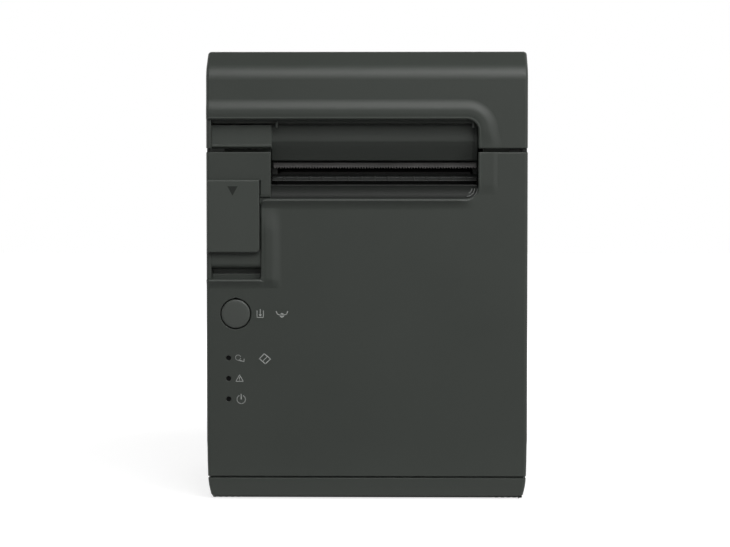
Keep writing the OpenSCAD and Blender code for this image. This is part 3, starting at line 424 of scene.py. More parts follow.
def corner_drop(x):
    """How far the rounded upright corner falls back at x."""
    over = abs(x) - (HALF_W - CORNER_R)
    return corner_reach(CORNER_R, min(over, CORNER_R - 0.001))


def make_cover_rim():
    """The rim over the window, round its corner and down to the seam."""
    start, end, foot = 3.0, 3.8, 8.8
    middle_x, middle_z = TOP_CORNER
    even = profile(0.6, 1.1, start, end, foot)
    rings = []
    for x in corner_places() + [-60, -30, 0, 25, middle_x]:
        fall = corner_drop(x)
        rings.append(rim_ring(lambda d, h: (x, FRONT + fall - h, WINDOW_TOP + d), 0, foot, even,
                              depth=COVER_WALL))
    for i in range(1, 13):
        turn = radians(90 - 7.5 * i)
        across, up = cos(turn), sin(turn)
        rings.append(rim_ring(
            lambda d, h: (middle_x + (WINDOW_R + d) * across, FRONT - h, middle_z + (WINDOW_R + d) * up),
            0, foot, even, depth=COVER_WALL))
    for z, drop in to_seam((163.8, 162.6, 161.4, 160.2, 159.2), COVER_LOW):
        high, wide = smooth_step(158, 166, z), 1 - smooth_step(157.5, 166.5, z)
        wide_foot = foot + 1.6 * wide
        lower = profile(0.4 + 0.2 * high, 0.55 + 0.55 * high, start + 1.6 * wide, end + 1.4 * wide, wide_foot)
        rings.append(rim_ring(lambda d, h: (WINDOW_RIGHT + d, FRONT - h, z), 0, wide_foot, lower,
                              drop, COVER_WALL))
    return tube("cover_window_rim", rings)


def make_case_right_rim():
    """The low rim right of the window, from the seam down to where it fades."""
    foot = 8.4
    levels = (137.2, 138, 138.8, 139.4, 140, 141, 142, 144, 147, 151, 154)
    rings = []
    for z, drop in to_seam(levels, CASE_TOP):
        first = -corner_reach(WINDOW_R, LOW_CORNER[1] - z)
        height = profile(0.2, 0.45, 1.5, 6.4, foot, smooth_step(136.8, 142.5, z))
        rings.append(rim_ring(lambda d, h: (WINDOW_RIGHT + d, FRONT - h, z), first, foot, height, drop))
    return tube("case_window_rim", rings)


def make_case_low_rim():
    """The rim under the window, from its right corner to the pocket's rounded corner."""
    corner = OUT_CORNER[0]
    places = [47.9, 47.2, 46, 45, 44, 43.5, 42, 40, 36, 20, 0, -20, -40, corner]
    places += [corner - OUT_R * sin(radians(15 * i)) for i in range(1, 6)]
    rings = []
    for x in places:
        first = corner_reach(OUT_R, corner - x) - corner_reach(WINDOW_R, x - LOW_CORNER[0])
        height = profile(1.4, 1.5, 0.9, 1.0, 5.0, 1 - smooth_step(39, 48, x), hollow=True)
        rings.append(rim_ring(lambda d, h: (x, FRONT - h, WINDOW_LOW + 0.5 - d), first, 5.2, height))
    return tube("case_slot_rim", rings)


def make_pocket_side_rim():
    """The rim right of the lever's pocket, round its lower corner."""
    turn = IN_CORNER[1]
    levels = [133.9, 133.2, 132.4, 131.4, 130.4, 129.4, 128.4, 127, 125, 123, 121.5, 120, 110, 103, turn]
    levels += [turn - IN_R * sin(radians(18 * i)) for i in range(1, 6)]
    rings = []
    for z in levels + [99.2, 98.4, 97.6, 96.8]:
        first = corner_reach(OUT_R, z - OUT_CORNER[1]) - corner_reach(IN_R, min(IN_R, turn - z))
        height = profile(0.6, 1.2, 2.9, 4.4, 9.1, smooth_step(133.5, 120, z) * smooth_step(96, 101, z))
        rings.append(rim_ring(lambda d, h: (POCKET_RIGHT - 0.25 + d, FRONT - h, z), first, 9.3, height))
    return tube("pocket_side_rim", rings)


def make_pocket_low_rim():
    """The rim under the lever's pocket, from the body's left corner to where it fades."""
    right = [-60, -52, -49, IN_CORNER[0], -46.8, -45.9, -45, -44, -43, -42.2]
    rings = []
    for x in corner_places() + right:
        fall = corner_drop(x)
        height = profile(1.25, 1.35, 0.9, 1.0, 4.6, 1 - smooth_step(-47.5, -42, x), hollow=True)
        rings.append(rim_ring(lambda d, h: (x, FRONT + fall - h, POCKET_LOW + 0.4 - d), 0, 4.8, height))
    return tube("pocket_low_rim", rings)


def make_pocket_steps():
    """The two steps at the bottom of the lever's pocket, the one at the back first."""
    left, right, back, low = -INNER_X, POCKET_RIGHT - 0.4, -66.2, POCKET_LOW - 0.2
    return [soften(joined("pocket_step", slab(left, right, front, back, low, POCKET_LOW + height)), 0.35, 3)
            for front, height in ((-67.2, 5.0), (-68.8, 2.8))]


def make_pocket_wall():
    """The wall in the pocket under the lever's flap, curved back at its lower end."""
    curve = arc((-69.3, 107.4), 2.4, 180, 262, 8)
    side = [(-69.2, 113.2), (-71.7, 113.2), *curve, (-69.2, 105)]
    return smooth(joined("pocket_wall", prism("x", side, SIDE_INNER - 0.2, POCKET_RIGHT - 0.4)))


# ---- Roll cover ----

SHOULDER_R = 9.0
SHOULDER_Z = TOP - 12.9
SHOULDER_SLOPE = 35
CREST_R = 4.0
CREST_Y = FRONT + 13
REAR_CORNER_R = 10.0
SKIRT = 150  # a level safely under the cover, for its cuts
BRACKETS = ((-59.3, -54.7), (54.7, 59.3))  # room for the case's hinge brackets
EARS = ((50.7, 54.7), (59.3, 63.3), (-54.7, -50.7), (-63.3, -59.3))  # the cover's, beside them
PIN_HOLE_R = 2.05


def cover_top(inset):
    """Side view of the cover from its front over the top to the hinge, taken in by inset."""
    turn = 90 + SHOULDER_SLOPE
    return (arc((FRONT + SHOULDER_R, SHOULDER_Z), SHOULDER_R - inset, 180, turn, 14)
            + arc((CREST_Y, TOP - CREST_R), CREST_R - inset, turn, 90, 6)
            + arc((REAR - REAR_CORNER_R, TOP - REAR_CORNER_R), REAR_CORNER_R - inset, 90, 0, 12)
            + [(REAR - inset, HINGE[1])])


def cover_edge(x, y, z):
    """Rounding of the cover's edges, widest along its sides."""
    at_seam = abs(z - COVER_LOW) < 0.05
    if abs(x) > HALF_W - NEAR:
        return EDGE_R if at_seam else CORNER_R
    if y < FRONT + NEAR:
        if at_seam:
            return EDGE_R
        return STRIP_R if x < SIDE_INNER + NEAR else 0
    if y > REAR - NEAR or (y > HINGE[0] - BARREL_R and z < HINGE[1] + NEAR):
        return 0.3
    return 0


def make_cover():
    """The cover's shell with its barrel at the hinge, and the ears that turn on the pins."""
    barrel_end = -180 + degrees(asin((HINGE[1] - COVER_LOW) / BARREL_R))
    inner_end = radians(barrel_end + 8)
    lip = (HINGE[0] + 9 * cos(inner_end), HINGE[1] + 9 * sin(inner_end))
    outer = [(FRONT, COVER_LOW)] + cover_top(0) + arc(HINGE, BARREL_R, 0, barrel_end, 20)[1:]
    inner = ([(FRONT + COVER_WALL, SKIRT)] + cover_top(COVER_WALL)
             + arc(HINGE, BARREL_R - COVER_WALL, 0, barrel_end + 8, 16)[1:] + [lip, (lip[0], SKIRT)])
    window = [(WINDOW_RIGHT, SKIRT), *arc(TOP_CORNER, WINDOW_R, 0, 90),
              (SIDE_INNER, WINDOW_TOP), (SIDE_INNER, SKIRT)]
    shell = joined("cover_shell_skin", prism("x", outer, -HALF_W, HALF_W), cuts=[
        prism("x", inner, -HALF_W + COVER_WALL, HALF_W - COVER_WALL),
        prism("y", window, FRONT - 3, FRONT + COVER_WALL + 1),
        *[slab(low, high, HINGE[0] - BARREL_R - 1, REAR + 1, SKIRT, HINGE[1]) for low, high in BRACKETS]])
    round_edges(shell, cover_edge, CORNER_R)
    ears = [joined("hinge_ear", disc("x", HINGE, BARREL_R - 0.3, low, high),
                   cuts=[disc("x", HINGE, PIN_HOLE_R, low - 1, high + 1)]) for low, high in EARS]
    return [shell] + [soften(ear, 0.3) for ear in ears]


# ---- Lever, paper slot and controls ----

LEVER_PROUD = 2.0  # how far the lever's flap stands in front of the case
INK = 0.01  # how far print stands off its face
INK_T = 0.06

GUIDE_RIGHT = 46.4  # where the guide's face gives way to the cheek at its right
BEND = 150.2  # the teeth lean forwards from here down
LEAN = 0.14  # by so much for each millimetre
CORNER_STEPS = ((4.4, -70.6), (3.2, -69.9), (2.0, -69.2))  # inner radius, and y of the face
BUTTON_R = 6.25


def make_lever():
    """The lever's flap with its pad and stem behind."""
    left, right, low, top = 0.35 - HALF_W, -46.7, 112.2, 143.8
    face, corner_r, side_r = FRONT - LEVER_PROUD, 1.6, 1.2
    corner = arc((right - corner_r, low + corner_r), corner_r, -90, 0, 6)
    outline = [(left, low), *corner, (right, top), (left, top)]
    pad = slab(-67.1, right - 0.2, FRONT - 0.4, -70.1, low + 6.4, POCKET_TOP - 0.5)
    stem = slab(-60.5, -52.8, -70.6, -63.4, 132.5, 138)
    flap = joined("lever_flap", prism("y", outline, face, FRONT - 0.2), joins=[pad, stem])

    def edge(x, y, z):
        if y > face + 0.4:
            return 0.3
        if x < left + NEAR and low + NEAR < z < top - NEAR:
            return side_r
        return 0.7 if z > top - NEAR else 0.5
    return round_edges(flap, edge, side_r)


def make_lever_arrow():
    """The arrow that points the way to push the lever."""
    return mark("lever_arrow", [[(-60.6, 141.0), (-58.35, 136.9), (-56.1, 141.0)]], FRONT - LEVER_PROUD - INK)


def make_paper_guide():
    """The guide over the paper, with two lugs in its corners and an arm behind the pad."""
    core = [(-56, 168.4), (-66.7, 168.4), (-66.7, 167.0), (-61, 167.0),
            (-61, 152.6), (-58.6, 152.6), (-58.6, 158), (-56, 158)]
    back, top, low = -60.5, 167.6, 152.1
    bulge = [(-67.2, top), (-67.15, 165.8), (-67.2, 163.6), (-67.3, 161.8), (-67.4, 160.7), (-67.3, 160.3),
             (-66.1, 157.6), (-64.7, 155.4), (-63.6, 152.7), (-63.2, low)]
    face = [(back, top), *bulge, (back, low)]
    cheek = [(back, top), *[(y + 0.5, z) for y, z in bulge], (back, low)]
    strip = [(-61, 168.2), (-68.6, 168.2), (-69.3, 168.6), (-69.3, 171.4), (-61, 171.4)]
    spans = {"guide_core": (core, WINDOW_LEFT - 0.6, WINDOW_RIGHT - 0.2),
             "guide_face": (face, WINDOW_LEFT - 0.5, GUIDE_RIGHT),
             "guide_cheek": (cheek, GUIDE_RIGHT - 0.1, WINDOW_RIGHT - 0.1),
             "guide_strip": (strip, SIDE_INNER + 0.2, WINDOW_RIGHT - 0.2)}
    parts = [joined(name, prism("x", *span)) for name, span in spans.items()]
    for name, x in (("guide_lug_left", -39.7), ("guide_lug_right", 45.8)):
        parts.append(joined(name, slab(x, x + 1, -70.9, -65, 166.4, 169.2)))
    parts.append(joined("guide_arm", slab(-54, WINDOW_LEFT - 0.3, -62.2, -57, 160, 168.2)))
    return [soften(part, 0.22) for part in parts]


def make_guide_pad():
    """The flat pad left of the guide, with a raised line along its foot."""
    left, right, face, back, radius = SIDE_INNER - 0.2, WINDOW_LEFT - 0.1, FRONT + PAD_DEPTH, -62, 0.33
    pad = joined("guide_pad", slab(left, right, face, back, COVER_LOW, PAD_TOP + 0.4),
                 joins=[slab(left, right, face - 0.35, back, COVER_LOW + 0.6, COVER_LOW + 1.7)])

    def edge(x, y, z):
        return radius if z < PAD_TOP - 1 and y < -66 and abs(x - left) > 0.2 else 0.1
    return round_edges(pad, edge, radius, 3)


def make_tear_bar():
    """The toothed steel strip under the guide, its teeth bent a little forwards."""
    left, right, front, back, top = -41.0, 47.8, -63, -62.2, 151.2
    pitch, tip, root, gap, upper = 1.2, 148.65, 149.45, 0.1, BEND + 0.1
    outline = [(left, upper), (left, root)]
    for i in range(int((right - left) / pitch)):
        x = left + i * pitch
        outline += [(x + gap, root), (x + pitch / 2, tip), (x + pitch - gap, root)]
    row = prism("y", outline + [(right, root), (right, upper)], front, back)
    teeth = [[(x, y - LEAN * (upper - z), z) for x, y, z in face] for face in row]
    foot = slab(-39.2, 46.0, -62.4, -58.8, 150.6, top)
    return smooth(joined("tear_strip", slab(left, right, front, back, BEND, top), joins=[teeth, foot]), 20)


def make_lower_guide():
    """The hollow lip under the paper, with low ribs in its hollow."""
    side = [(-58.5, 146.0), (-62.9, 146.3), (-61.9, 145.2), (-61.9, 144.8), (-62.5, 144.3), (-63.3, 143.9),
            (-63.85, 143.7), (-63.95, 143.4), (-63.7, 143.0), (-60.6, 142.9), (-60.6, 140.6), (-58.5, 140.6)]
    lip = joined("lower_lip", prism("x", side, -41.6, 47.9))
    round_edges(lip, lambda x, y, z: 0.04 if z > 145 else 0.12, 0.12, 2)
    section = [(-61.8, 145.5), (-62.5, 145.0), (-63.5, 144.2), (-63.3, 143.8), (-61.8, 144.3)]
    start, pitch, count = -37, 5.7, 15
    places = [start + i * pitch for i in range(count)]
    return [lip] + [soften(joined("lower_rib", prism("x", section, x, x + 1)), 0.12) for x in places]


def make_slot_cheeks():
    """The walls at both ends of the paper slot, near-black as painted shade."""
    ends = ((WINDOW_LEFT - 0.3, -39.4), (GUIDE_RIGHT - 0.1, WINDOW_RIGHT - 0.1))
    return [soften(joined("slot_cheek", slab(low, high, -62, -58, 141.9, 151.9)), 0.2) for low, high in ends]


def make_exit_ramp():
    """The hollow lip under the slot."""
    side = [(-69.6, 133.6), (-69.6, 136.2), (-69.35, 137.2), (-69.15, 138.2), (-69.05, 139.2), (-69.1, 140.0),
            (-69.25, 140.8), (-69.55, 141.35), (-69.4, 141.6), (-62, 141.6), (-62, 139.4), (-66.6, 133.6)]
    lip = joined("exit_ramp", prism("x", side, PLATE_STRIP - 0.2, WINDOW_RIGHT - 0.2))
    return round_edges(lip, lambda x, y, z: 0.05 if z > 141 else 0.2, 0.2, 2)


def make_corner_steps():
    """The stepped rings in the lip's rounded right corner, in a light grey that paints their glints."""
    steps = []
    for radius, face in CORNER_STEPS:
        outline = arc(LOW_CORNER, radius + 0.5, 0, -90, 10) + arc(LOW_CORNER, radius, -90, 0, 10)
        steps.append(soften(joined("exit_corner_step", prism("y", outline, face, face + 3)), 0.15))
    return steps


def make_button():
    """The feed button with its domed face, flange and plunger."""
    sides = 72
    section = [(-0.26, 0.01), (-0.25, 2.5), (-0.21, 4.4), (-0.14, 5.4), (-0.07, 5.85), (0.04, 6.1),
               (0.2, 6.22), (0.4, BUTTON_R), (2.6, BUTTON_R), (2.6, 7.8), (3.8, 7.8), (3.8, 2.0),
               (9.2, 2.0), (9.2, 0.01)]
    turns = [2 * pi * i / sides for i in range(sides)]
    rings = [[(BUTTON[0] + r * cos(a), FRONT + y, BUTTON[1] + r * sin(a)) for a in turns]
             for y, r in section]
    return tube("feed_button_cap", rings, 30)


# ---- Base ----

BASE_HOLLOW = (-65.6, 65.6, INNER_FRONT + 2, INNER_REAR - 2)  # left, right, front, back
SCREWS = [(x, y) for x in (-63.6, 63.6) for y in (INNER_FRONT + 4, INNER_REAR - 4)]
SCREW_R = 1.7
SCREW_HEAD_R = 3.3


def base_cuts():
    """The base's hollow, recesses and screw holes, and the gaps between its foot ribs."""
    cuts = [slab(*BASE_HOLLOW, FLOOR, 20), slab(-21, 21, 9, 31, 0, BASE_LOW + 1.4),
            slab(-12, 12, 12, 28, 0, FLOOR + 1)]
    for x in (-60.5, 60.5):
        cuts += [slab(x - 6.5, x + 6.5, y - 6, y + 6, 1, BASE_LOW + 0.6) for y in (-58, 56)]
        gaps = [x - 5.5 + i * 2.6 for i in range(5)]
        cuts += [slab(gap, gap + 1, FRONT - 1, FRONT + 6, 0, BASE_LOW + 0.7) for gap in gaps]
    return cuts + [disc("z", spot, SCREW_HEAD_R, 0, FLOOR + 1) for spot in SCREWS]


def base_edge(x, y, z):
    """Rounding of the base's edges, none inside."""
    side, front = abs(x) > 66, y < FRONT + 4
    if side and (front or y > REAR - 2.5) and BASE_LOW + 0.2 < z < BASE_TOP - 0.2:
        return CORNER_R
    if z < BASE_LOW + 1 and y < FRONT + 7 and abs(x) > 54:
        return 0.12
    return 0.3 if z > BASE_TOP - 0.2 or side or front or y > REAR - 3 else 0


def make_base():
    """The base with its slanting edge, and the tongue and bosses inside it."""
    side = [(FRONT + 0.2, BASE_TOP), (FRONT + 0.5, 10), (FRONT + 1.1, BASE_LOW + 1.2),
            (FRONT + 2.2, BASE_LOW), (REAR - 1.6, BASE_LOW), (REAR - 0.2, BASE_LOW + 1.6),
            (REAR - 0.2, BASE_TOP)]
    tray = joined("base_tray", prism("x", side, -HALF_W, HALF_W), cuts=base_cuts(), within=[body_block()])
    round_edges(tray, base_edge, CORNER_R)
    tongue = joined("base_tongue", slab(-68.7, 68.7, FRONT + 1.0, REAR - 1.2, BASE_TOP - 1, CASE_LOW - 0.1),
                    cuts=[slab(*BASE_HOLLOW, 0, 20)])
    soften(tongue, 0.5)
    bosses = []
    for x, y in SCREWS:
        bores = [disc("z", (x, y), SCREW_R, 0, 20), disc("z", (x, y), SCREW_HEAD_R, 0, BASE_LOW + 2.9)]
        right = x + (4 if x > 0 else 3.2)
        block = slab(x - 3.6, right, y - 3.7, y + 3.7, FLOOR - 0.5, CASE_LOW)
        bosses.append(smooth(joined("base_boss", block, cuts=bores)))
    return [tray, tongue, *bosses]


# ---- Printed marks: pictograms, no words ----

LINE = 0.3  # widths of the drawn lines
BOLD = 0.4
STROKE_LAP = 0.3  # how far a stroke runs on past its points, in widths
FEED_SIGN = (-46.5, 85.2)
ROLL_SIGN = (-37.0, 84.7)
PAPER_SIGN = (-55.6, LIGHT_Z[0])
WARNING_SIGN = (-55.6, LIGHT_Z[1])
POWER_SIGN = (-54.9, LIGHT_Z[2])


def mark(name, outlines, y=FRONT - INK):
    """Thin printed shapes on the case's front."""
    return [solid("%s_%d" % (name, number), prism("y", outline, y, y + INK_T))
            for number, outline in enumerate(outlines)]


def stroke(points, width, shut=False):
    """Outline pieces of a line of even width through points."""
    pieces = []
    for (ax, az), (bx, bz) in zip(points, points[1:] + (points[:1] if shut else [])):
        long = hypot(bx - ax, bz - az)
        nx, nz = (az - bz) / long * width / 2, (bx - ax) / long * width / 2
        ex, ez = (bx - ax) / long * width * STROKE_LAP, (bz - az) / long * width * STROKE_LAP
        pieces.append([(ax + nx - ex, az + nz - ez), (ax - nx - ex, az - nz - ez),
                       (bx - nx + ex, bz - nz + ez), (bx + nx + ex, bz + nz + ez)])
    return pieces


def at(place, *points):
    """Points drawn about a sign's middle, moved to its place."""
    return [(place[0] + x, place[1] + z) for x, z in points]


def feed_sign():
    """Paper pulled into a tray, and a roll with its two ends of paper."""
    tray = at(FEED_SIGN, (-1.4, 1.5), (-1.4, -1.4), (1.4, -1.4), (1.4, 1.5))
    shaft = at(FEED_SIGN, (-0.14, 2.2), (-0.14, -0.2), (0.14, -0.2), (0.14, 2.2))
    head = at(FEED_SIGN, (-0.7, -0.1), (0, -1.0), (0.7, -0.1))
    ends = at(ROLL_SIGN, (-2.5, 1.7), (-2.0, 0.5), (0, 0), (2.0, 0.5), (2.5, 1.7))
    return [*stroke(tray, LINE), shaft, head, *stroke(ends, BOLD), arc(ROLL_SIGN, 1.0, 0, 342, 19)]


def paper_sign():
    """A paper roll, and a slanting sheet."""
    roll_centre, = at(PAPER_SIGN, (-0.6, 0.2))
    end = at(PAPER_SIGN, (-0.5, -1.0), (2.0, -1.5), (2.0, -0.4))
    sheet = [(-46.9, 65.7), (-44.8, 67.9), (-42.0, 65.6), (-44.3, 63.5)]
    return (stroke(arc(roll_centre, 1.15, 20, 340, 14), LINE) + stroke(end, LINE)
            + stroke(sheet, BOLD, shut=True) + stroke([(-45.2, 64.9), (-43.6, 66.5)], LINE))


def warning_sign():
    """A triangle with an exclamation mark."""
    triangle = at(WARNING_SIGN, (-1.6, -1.2), (1.6, -1.2), (0, 1.6))
    return [*stroke(triangle, LINE, shut=True),
            at(WARNING_SIGN, (-0.14, 0.7), (-0.12, -0.4), (0.12, -0.4), (0.14, 0.7)),
            at(WARNING_SIGN, (-0.14, -0.6), (-0.14, -0.85), (0.14, -0.85), (0.14, -0.6))]


def power_sign():
    """An open ring with a line in its gap."""
    ring_centre, = at(POWER_SIGN, (0, -0.1))
    bar = at(POWER_SIGN, (0, 0), (0, 2.2))
    return stroke(arc(ring_centre, 1.85, 120, 420, 18), BOLD) + stroke(bar, BOLD)


def make_marks():
    """The signs beside the button and the lights."""
    return (mark("mark_feed", feed_sign()) + mark("mark_paper", paper_sign())
            + mark("mark_warning", warning_sign()) + mark("mark_power", power_sign()))


# ---- Materials ----

GRAIN = 2600.0  # spots of a moulded face's texture in a metre
WHITE = (1, 1, 1, 1)


def fill(node, values):
    """Sets a node's inputs, and links those that get a socket."""
    for label, value in values.items():
        if isinstance(value, bpy.types.NodeSocket):
            node.id_data.links.new(value, node.inputs[label])
        else:
            node.inputs[label].default_value = value


def add(tree, kind, values=None, **settings):
    """A new shader node with its settings and inputs."""
    node = tree.nodes.new("ShaderNode" + kind)
    for setting, value in settings.items():
        setattr(node, setting, value)
    fill(node, values or {})
    return node


def maths(operation, first, second):
    """The result of a maths node on a socket and a socket or number."""
    return add(first.id_data, "Math", {0: first, 1: second}, operation=operation).outputs[0]


def swing(share, depth):
    """A 0 to 1 pattern as a swing about zero, of depth from end to end."""
    return maths("MULTIPLY", maths("SUBTRACT", share, 0.5), depth)


def tinted(colour, share, depth):
    """A colour made lighter and darker by a 0 to 1 pattern."""
    values = {0: colour, "Scale": maths("ADD", swing(share, depth), 1.0)}
    return add(colour.id_data, "VectorMath", values, operation="SCALE").outputs[0]


def noise(tree, scale, detail, stretch=None):
    """A noise texture in the object's own place, in features per metre."""
    place = add(tree, "TexCoord").outputs["Object"]
    if stretch:
        place = add(tree, "Mapping", {"Vector": place, "Scale": stretch}).outputs["Vector"]
    return add(tree, "TexNoise", {"Vector": place, "Scale": scale, "Detail": detail}).outputs["Fac"]


def group(name, inputs):
    """A new node group, its inputs, and its result: a surface's colour, roughness and height."""
    tree = bpy.data.node_groups.new(name, "ShaderNodeTree")
    for label, value in inputs.items():
        kind = "NodeSocketColor" if isinstance(value, tuple) else "NodeSocketFloat"
        tree.interface.new_socket(label, in_out="INPUT", socket_type=kind).default_value = value
    for label, kind in (("Colour", "Color"), ("Roughness", "Float"), ("Height", "Float")):
        tree.interface.new_socket(label, in_out="OUTPUT", socket_type="NodeSocket" + kind)
    return tree, tree.nodes.new("NodeGroupInput").outputs, tree.nodes.new("NodeGroupOutput")


def moulded_skin():
    """Fine texture of a moulded face, with faint clouding from handling."""
    tree, given, result = group("moulded skin", {
        "Colour": (0.05, 0.05, 0.05, 1), "Roughness": 0.4, "Clouding": 0.1, "Grain": GRAIN})
    clouds, fine = noise(tree, 22, 3), noise(tree, given["Grain"], 1)
    rough = maths("ADD", given["Roughness"], swing(clouds, 0.12))
    fill(result, {"Colour": tinted(given["Colour"], clouds, given["Clouding"]),
                  "Roughness": maths("ADD", rough, swing(fine, 0.1)), "Height": fine})
    return tree


def drawn_metal():
    """Fine lines along X, as on rolled and ground metal, with dull patches."""
    tree, given, result = group("drawn metal", {
        "Colour": (0.6, 0.6, 0.6, 1), "Roughness": 0.3, "Lines": 0.2})
    lines, patches = noise(tree, 1.0, 2, stretch=(60, 5200, 5200)), noise(tree, 90, 3)
    uneven = maths("ADD", swing(lines, given["Lines"]), swing(patches, 0.2))
    fill(result, {"Colour": tinted(given["Colour"], patches, 0.12),
                  "Roughness": maths("ADD", given["Roughness"], uneven), "Height": lines})
    return tree


def board_tracks():
    """Copper tracks and pads under a circuit board's green lacquer."""
    tree, given, result = group("board tracks", {
        "Lacquer": (0.02, 0.12, 0.05, 1), "Track": (0.05, 0.22, 0.09, 1)})
    place = add(tree, "TexCoord").outputs["Object"]
    bricks = {"Vector": place, "Scale": 260.0, "Mortar Size": 0.06, "Mortar Smooth": 0.1}
    cells = add(tree, "TexBrick", bricks)
    picked = maths("MULTIPLY", cells.outputs["Fac"], maths("GREATER_THAN", noise(tree, 140, 1), 0.5))
    colours = {"Factor": picked, "A": given["Lacquer"], "B": given["Track"]}
    fill(result, {"Colour": add(tree, "Mix", colours, data_type="RGBA").outputs["Result"],
                  "Roughness": maths("ADD", maths("MULTIPLY", noise(tree, 500, 2), 0.2), 0.25),
                  "Height": picked})
    return tree


GROUPS = {"skin": moulded_skin(), "metal": drawn_metal(), "board": board_tracks()}


def new_material(name):
    """An empty material, and its Principled shader."""
    made = bpy.data.materials.new(name)
    made.use_nodes = True
    return made, made.node_tree.nodes["Principled BSDF"]


def material(name, effect, values, shader, bump=0.1, reach=0.03):
    """A material: an effect group for its surface, plain numbers on its shader for the rest."""
    made, surface = new_material(name)
    pattern = add(made.node_tree, "Group", node_tree=GROUPS[effect])
    for label, value in values.items():
        fill(pattern, {label: (*value, 1) if isinstance(value, tuple) else value})
    given = pattern.outputs
    relief = {"Strength": bump, "Distance": reach * MM, "Height": given["Height"]}
    fill(surface, {"Normal": add(made.node_tree, "Bump", relief).outputs["Normal"],
                   "Base Color": given["Colour"], "Roughness": given["Roughness"], **shader})
    return made


def plastic(name, colour, rough=0.42, clouding=0.1, grain=GRAIN, bump=0.35, specular=0.35, coat=0.0):
    """A moulded plastic, rubber or glaze."""
    values = {"Colour": colour, "Roughness": rough, "Clouding": clouding, "Grain": grain}
    return material(name, "skin", values, {"Specular IOR Level": specular, "Coat Weight": coat}, bump)


def metal(name, colour, rough=0.3, lines=0.2):
    """A bare, plated or blackened metal."""
    values = {"Colour": colour, "Roughness": rough, "Lines": lines}
    return material(name, "metal", values, {"Metallic": 1.0})


CASE_GREY = (0.029, 0.0335, 0.029)

MATERIALS = {
    "case_plastic": plastic("case plastic", CASE_GREY, 0.5),
    "cover_plastic": plastic("cover plastic", CASE_GREY, 0.5),
    "button_plastic": plastic("button plastic", (0.046, 0.051, 0.046), 0.45),
    "dark_plastic": plastic("dark plastic", (0.014, 0.015, 0.014), 0.5),
    "slot_plastic": plastic("slot plastic", (0.024, 0.0275, 0.024)),
    "light_plastic": plastic("smoked light", (0.003, 0.003, 0.003), 0.3, bump=0.02, specular=0.15),
    "white_gear": plastic("white gear", (0.72, 0.71, 0.66), 0.38, 0.06, 1800.0, 0.15),
    "foot_rubber": plastic("foot rubber", (0.018, 0.018, 0.018), 0.8, 0.2, 1500.0, 0.6),
    "platen_rubber": plastic("platen rubber", (0.03, 0.03, 0.032), 0.65, 0.12, 3200.0, 0.5),
    "frame_steel": metal("zinc-plated sheet", (0.5, 0.51, 0.52), 0.42),
    "blade_steel": metal("blackened blade", (0.062, 0.06, 0.059), 0.4, 0.3),
    "shaft_steel": metal("plated shaft", (0.7, 0.7, 0.7), 0.16, 0.1),
    "spring_steel": metal("spring wire", (0.55, 0.55, 0.56), 0.28),
    "screw_steel": metal("plated screw", (0.6, 0.6, 0.6)),
    "motor_steel": metal("motor can", (0.25, 0.26, 0.27), 0.4),
    "heatsink": metal("heatsink", (0.72, 0.73, 0.74), 0.36, 0.3),
    "head_ceramic": plastic("glazed head", (0.05, 0.045, 0.04), 0.15, 0.05, 900.0, 0.05, coat=0.5),
    "board": material("circuit board", "board", {"Lacquer": (0.02, 0.12, 0.05), "Track": (0.06, 0.26, 0.11)},
                      {}, 0.4, 0.04),
    "socket_metal": metal("tin-plated shell", (0.66, 0.67, 0.68), 0.26),
    "socket_plastic": plastic("socket plastic", (0.02, 0.02, 0.02), 0.3, 0.08, bump=0.2),
}
PRINT = plastic("printed marks", (0.27, 0.28, 0.27), 0.5, 0.04, 3000.0, 0.1)
# A flat dark arrow drawn on the lever's flap.
ARROW = plastic("dark arrow", (0.013, 0.015, 0.013), 0.6, 0.04, 3000.0, 0.1, specular=0.2)
LIP = plastic("lip plastic", (0.011, 0.0125, 0.011), 0.5, specular=0.25)
# Near-black for the seam posts and the slot's end walls: painted shade where the seam and the slot's ends lie
# in shade.
SHADE_BLACK = plastic("painted shade black", (0.006, 0.007, 0.006), 0.6, specular=0.2)
LEVER = plastic("lever plastic", (0.034, 0.039, 0.034), 0.5)
# Light grey for the stepped rings: painted highlight standing in for their glints.
GLINT_GREY = plastic("steps with painted glints", (0.12, 0.125, 0.12), 0.25)
# Near-black steel for the parts deep in the slot: painted shade, so the slot's depths read black.
SHADE_STEEL = metal("near-black steel for slot shade", (0.03, 0.03, 0.03), 0.45)


def seat(pieces, body, slot, *nodes, coat=None):
    """Pieces that ride on a body, in a slot's finish or their own coat, in place of CAD nodes."""
    for made in pieces:
        made.data.materials.clear()
        made.data.materials.append(coat or MATERIALS[slot])
        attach(made, body)
        if nodes:
            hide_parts(*nodes)


# ---- CAD parts: smooth shading, broken edges and materials ----

# Parts deep in the paper slot, coloured near-black as painted shade.
SHADED_IN_SLOT = ("inner_guide", "fixed_blade", "moving_blade", "cutter_frame")
TOO_FINE = ("head_springs", "lever_spring", "tear_bar")  # these keep their edges
BROKEN = 0.2  # width of a broken edge


def shading_steps(angle=32):
    """A modifier group that merges split points and shades smooth up to an angle."""
    tree = bpy.data.node_groups.new("machined shading", "GeometryNodeTree")
    for side in ("INPUT", "OUTPUT"):
        tree.interface.new_socket("Geometry", in_out=side, socket_type="NodeSocketGeometry")
    given, merge, faces, bend, flat, edges, result = map(tree.nodes.new, (
        "NodeGroupInput", "GeometryNodeMergeByDistance", "GeometryNodeSetShadeSmooth",
        "GeometryNodeInputMeshEdgeAngle", "FunctionNodeCompare", "GeometryNodeSetShadeSmooth",
        "NodeGroupOutput"))
    faces.domain, edges.domain = "FACE", "EDGE"
    flat.data_type, flat.operation = "FLOAT", "LESS_THAN"
    fill(merge, {"Distance": 1e-6})
    fill(flat, {0: bend.outputs["Unsigned Angle"], 1: radians(angle)})
    fill(edges, {"Shade Smooth": flat.outputs[0]})
    for one, two in ((given, merge), (merge, faces), (faces, edges), (edges, result)):
        fill(two, {0: one.outputs[0]})
    return tree


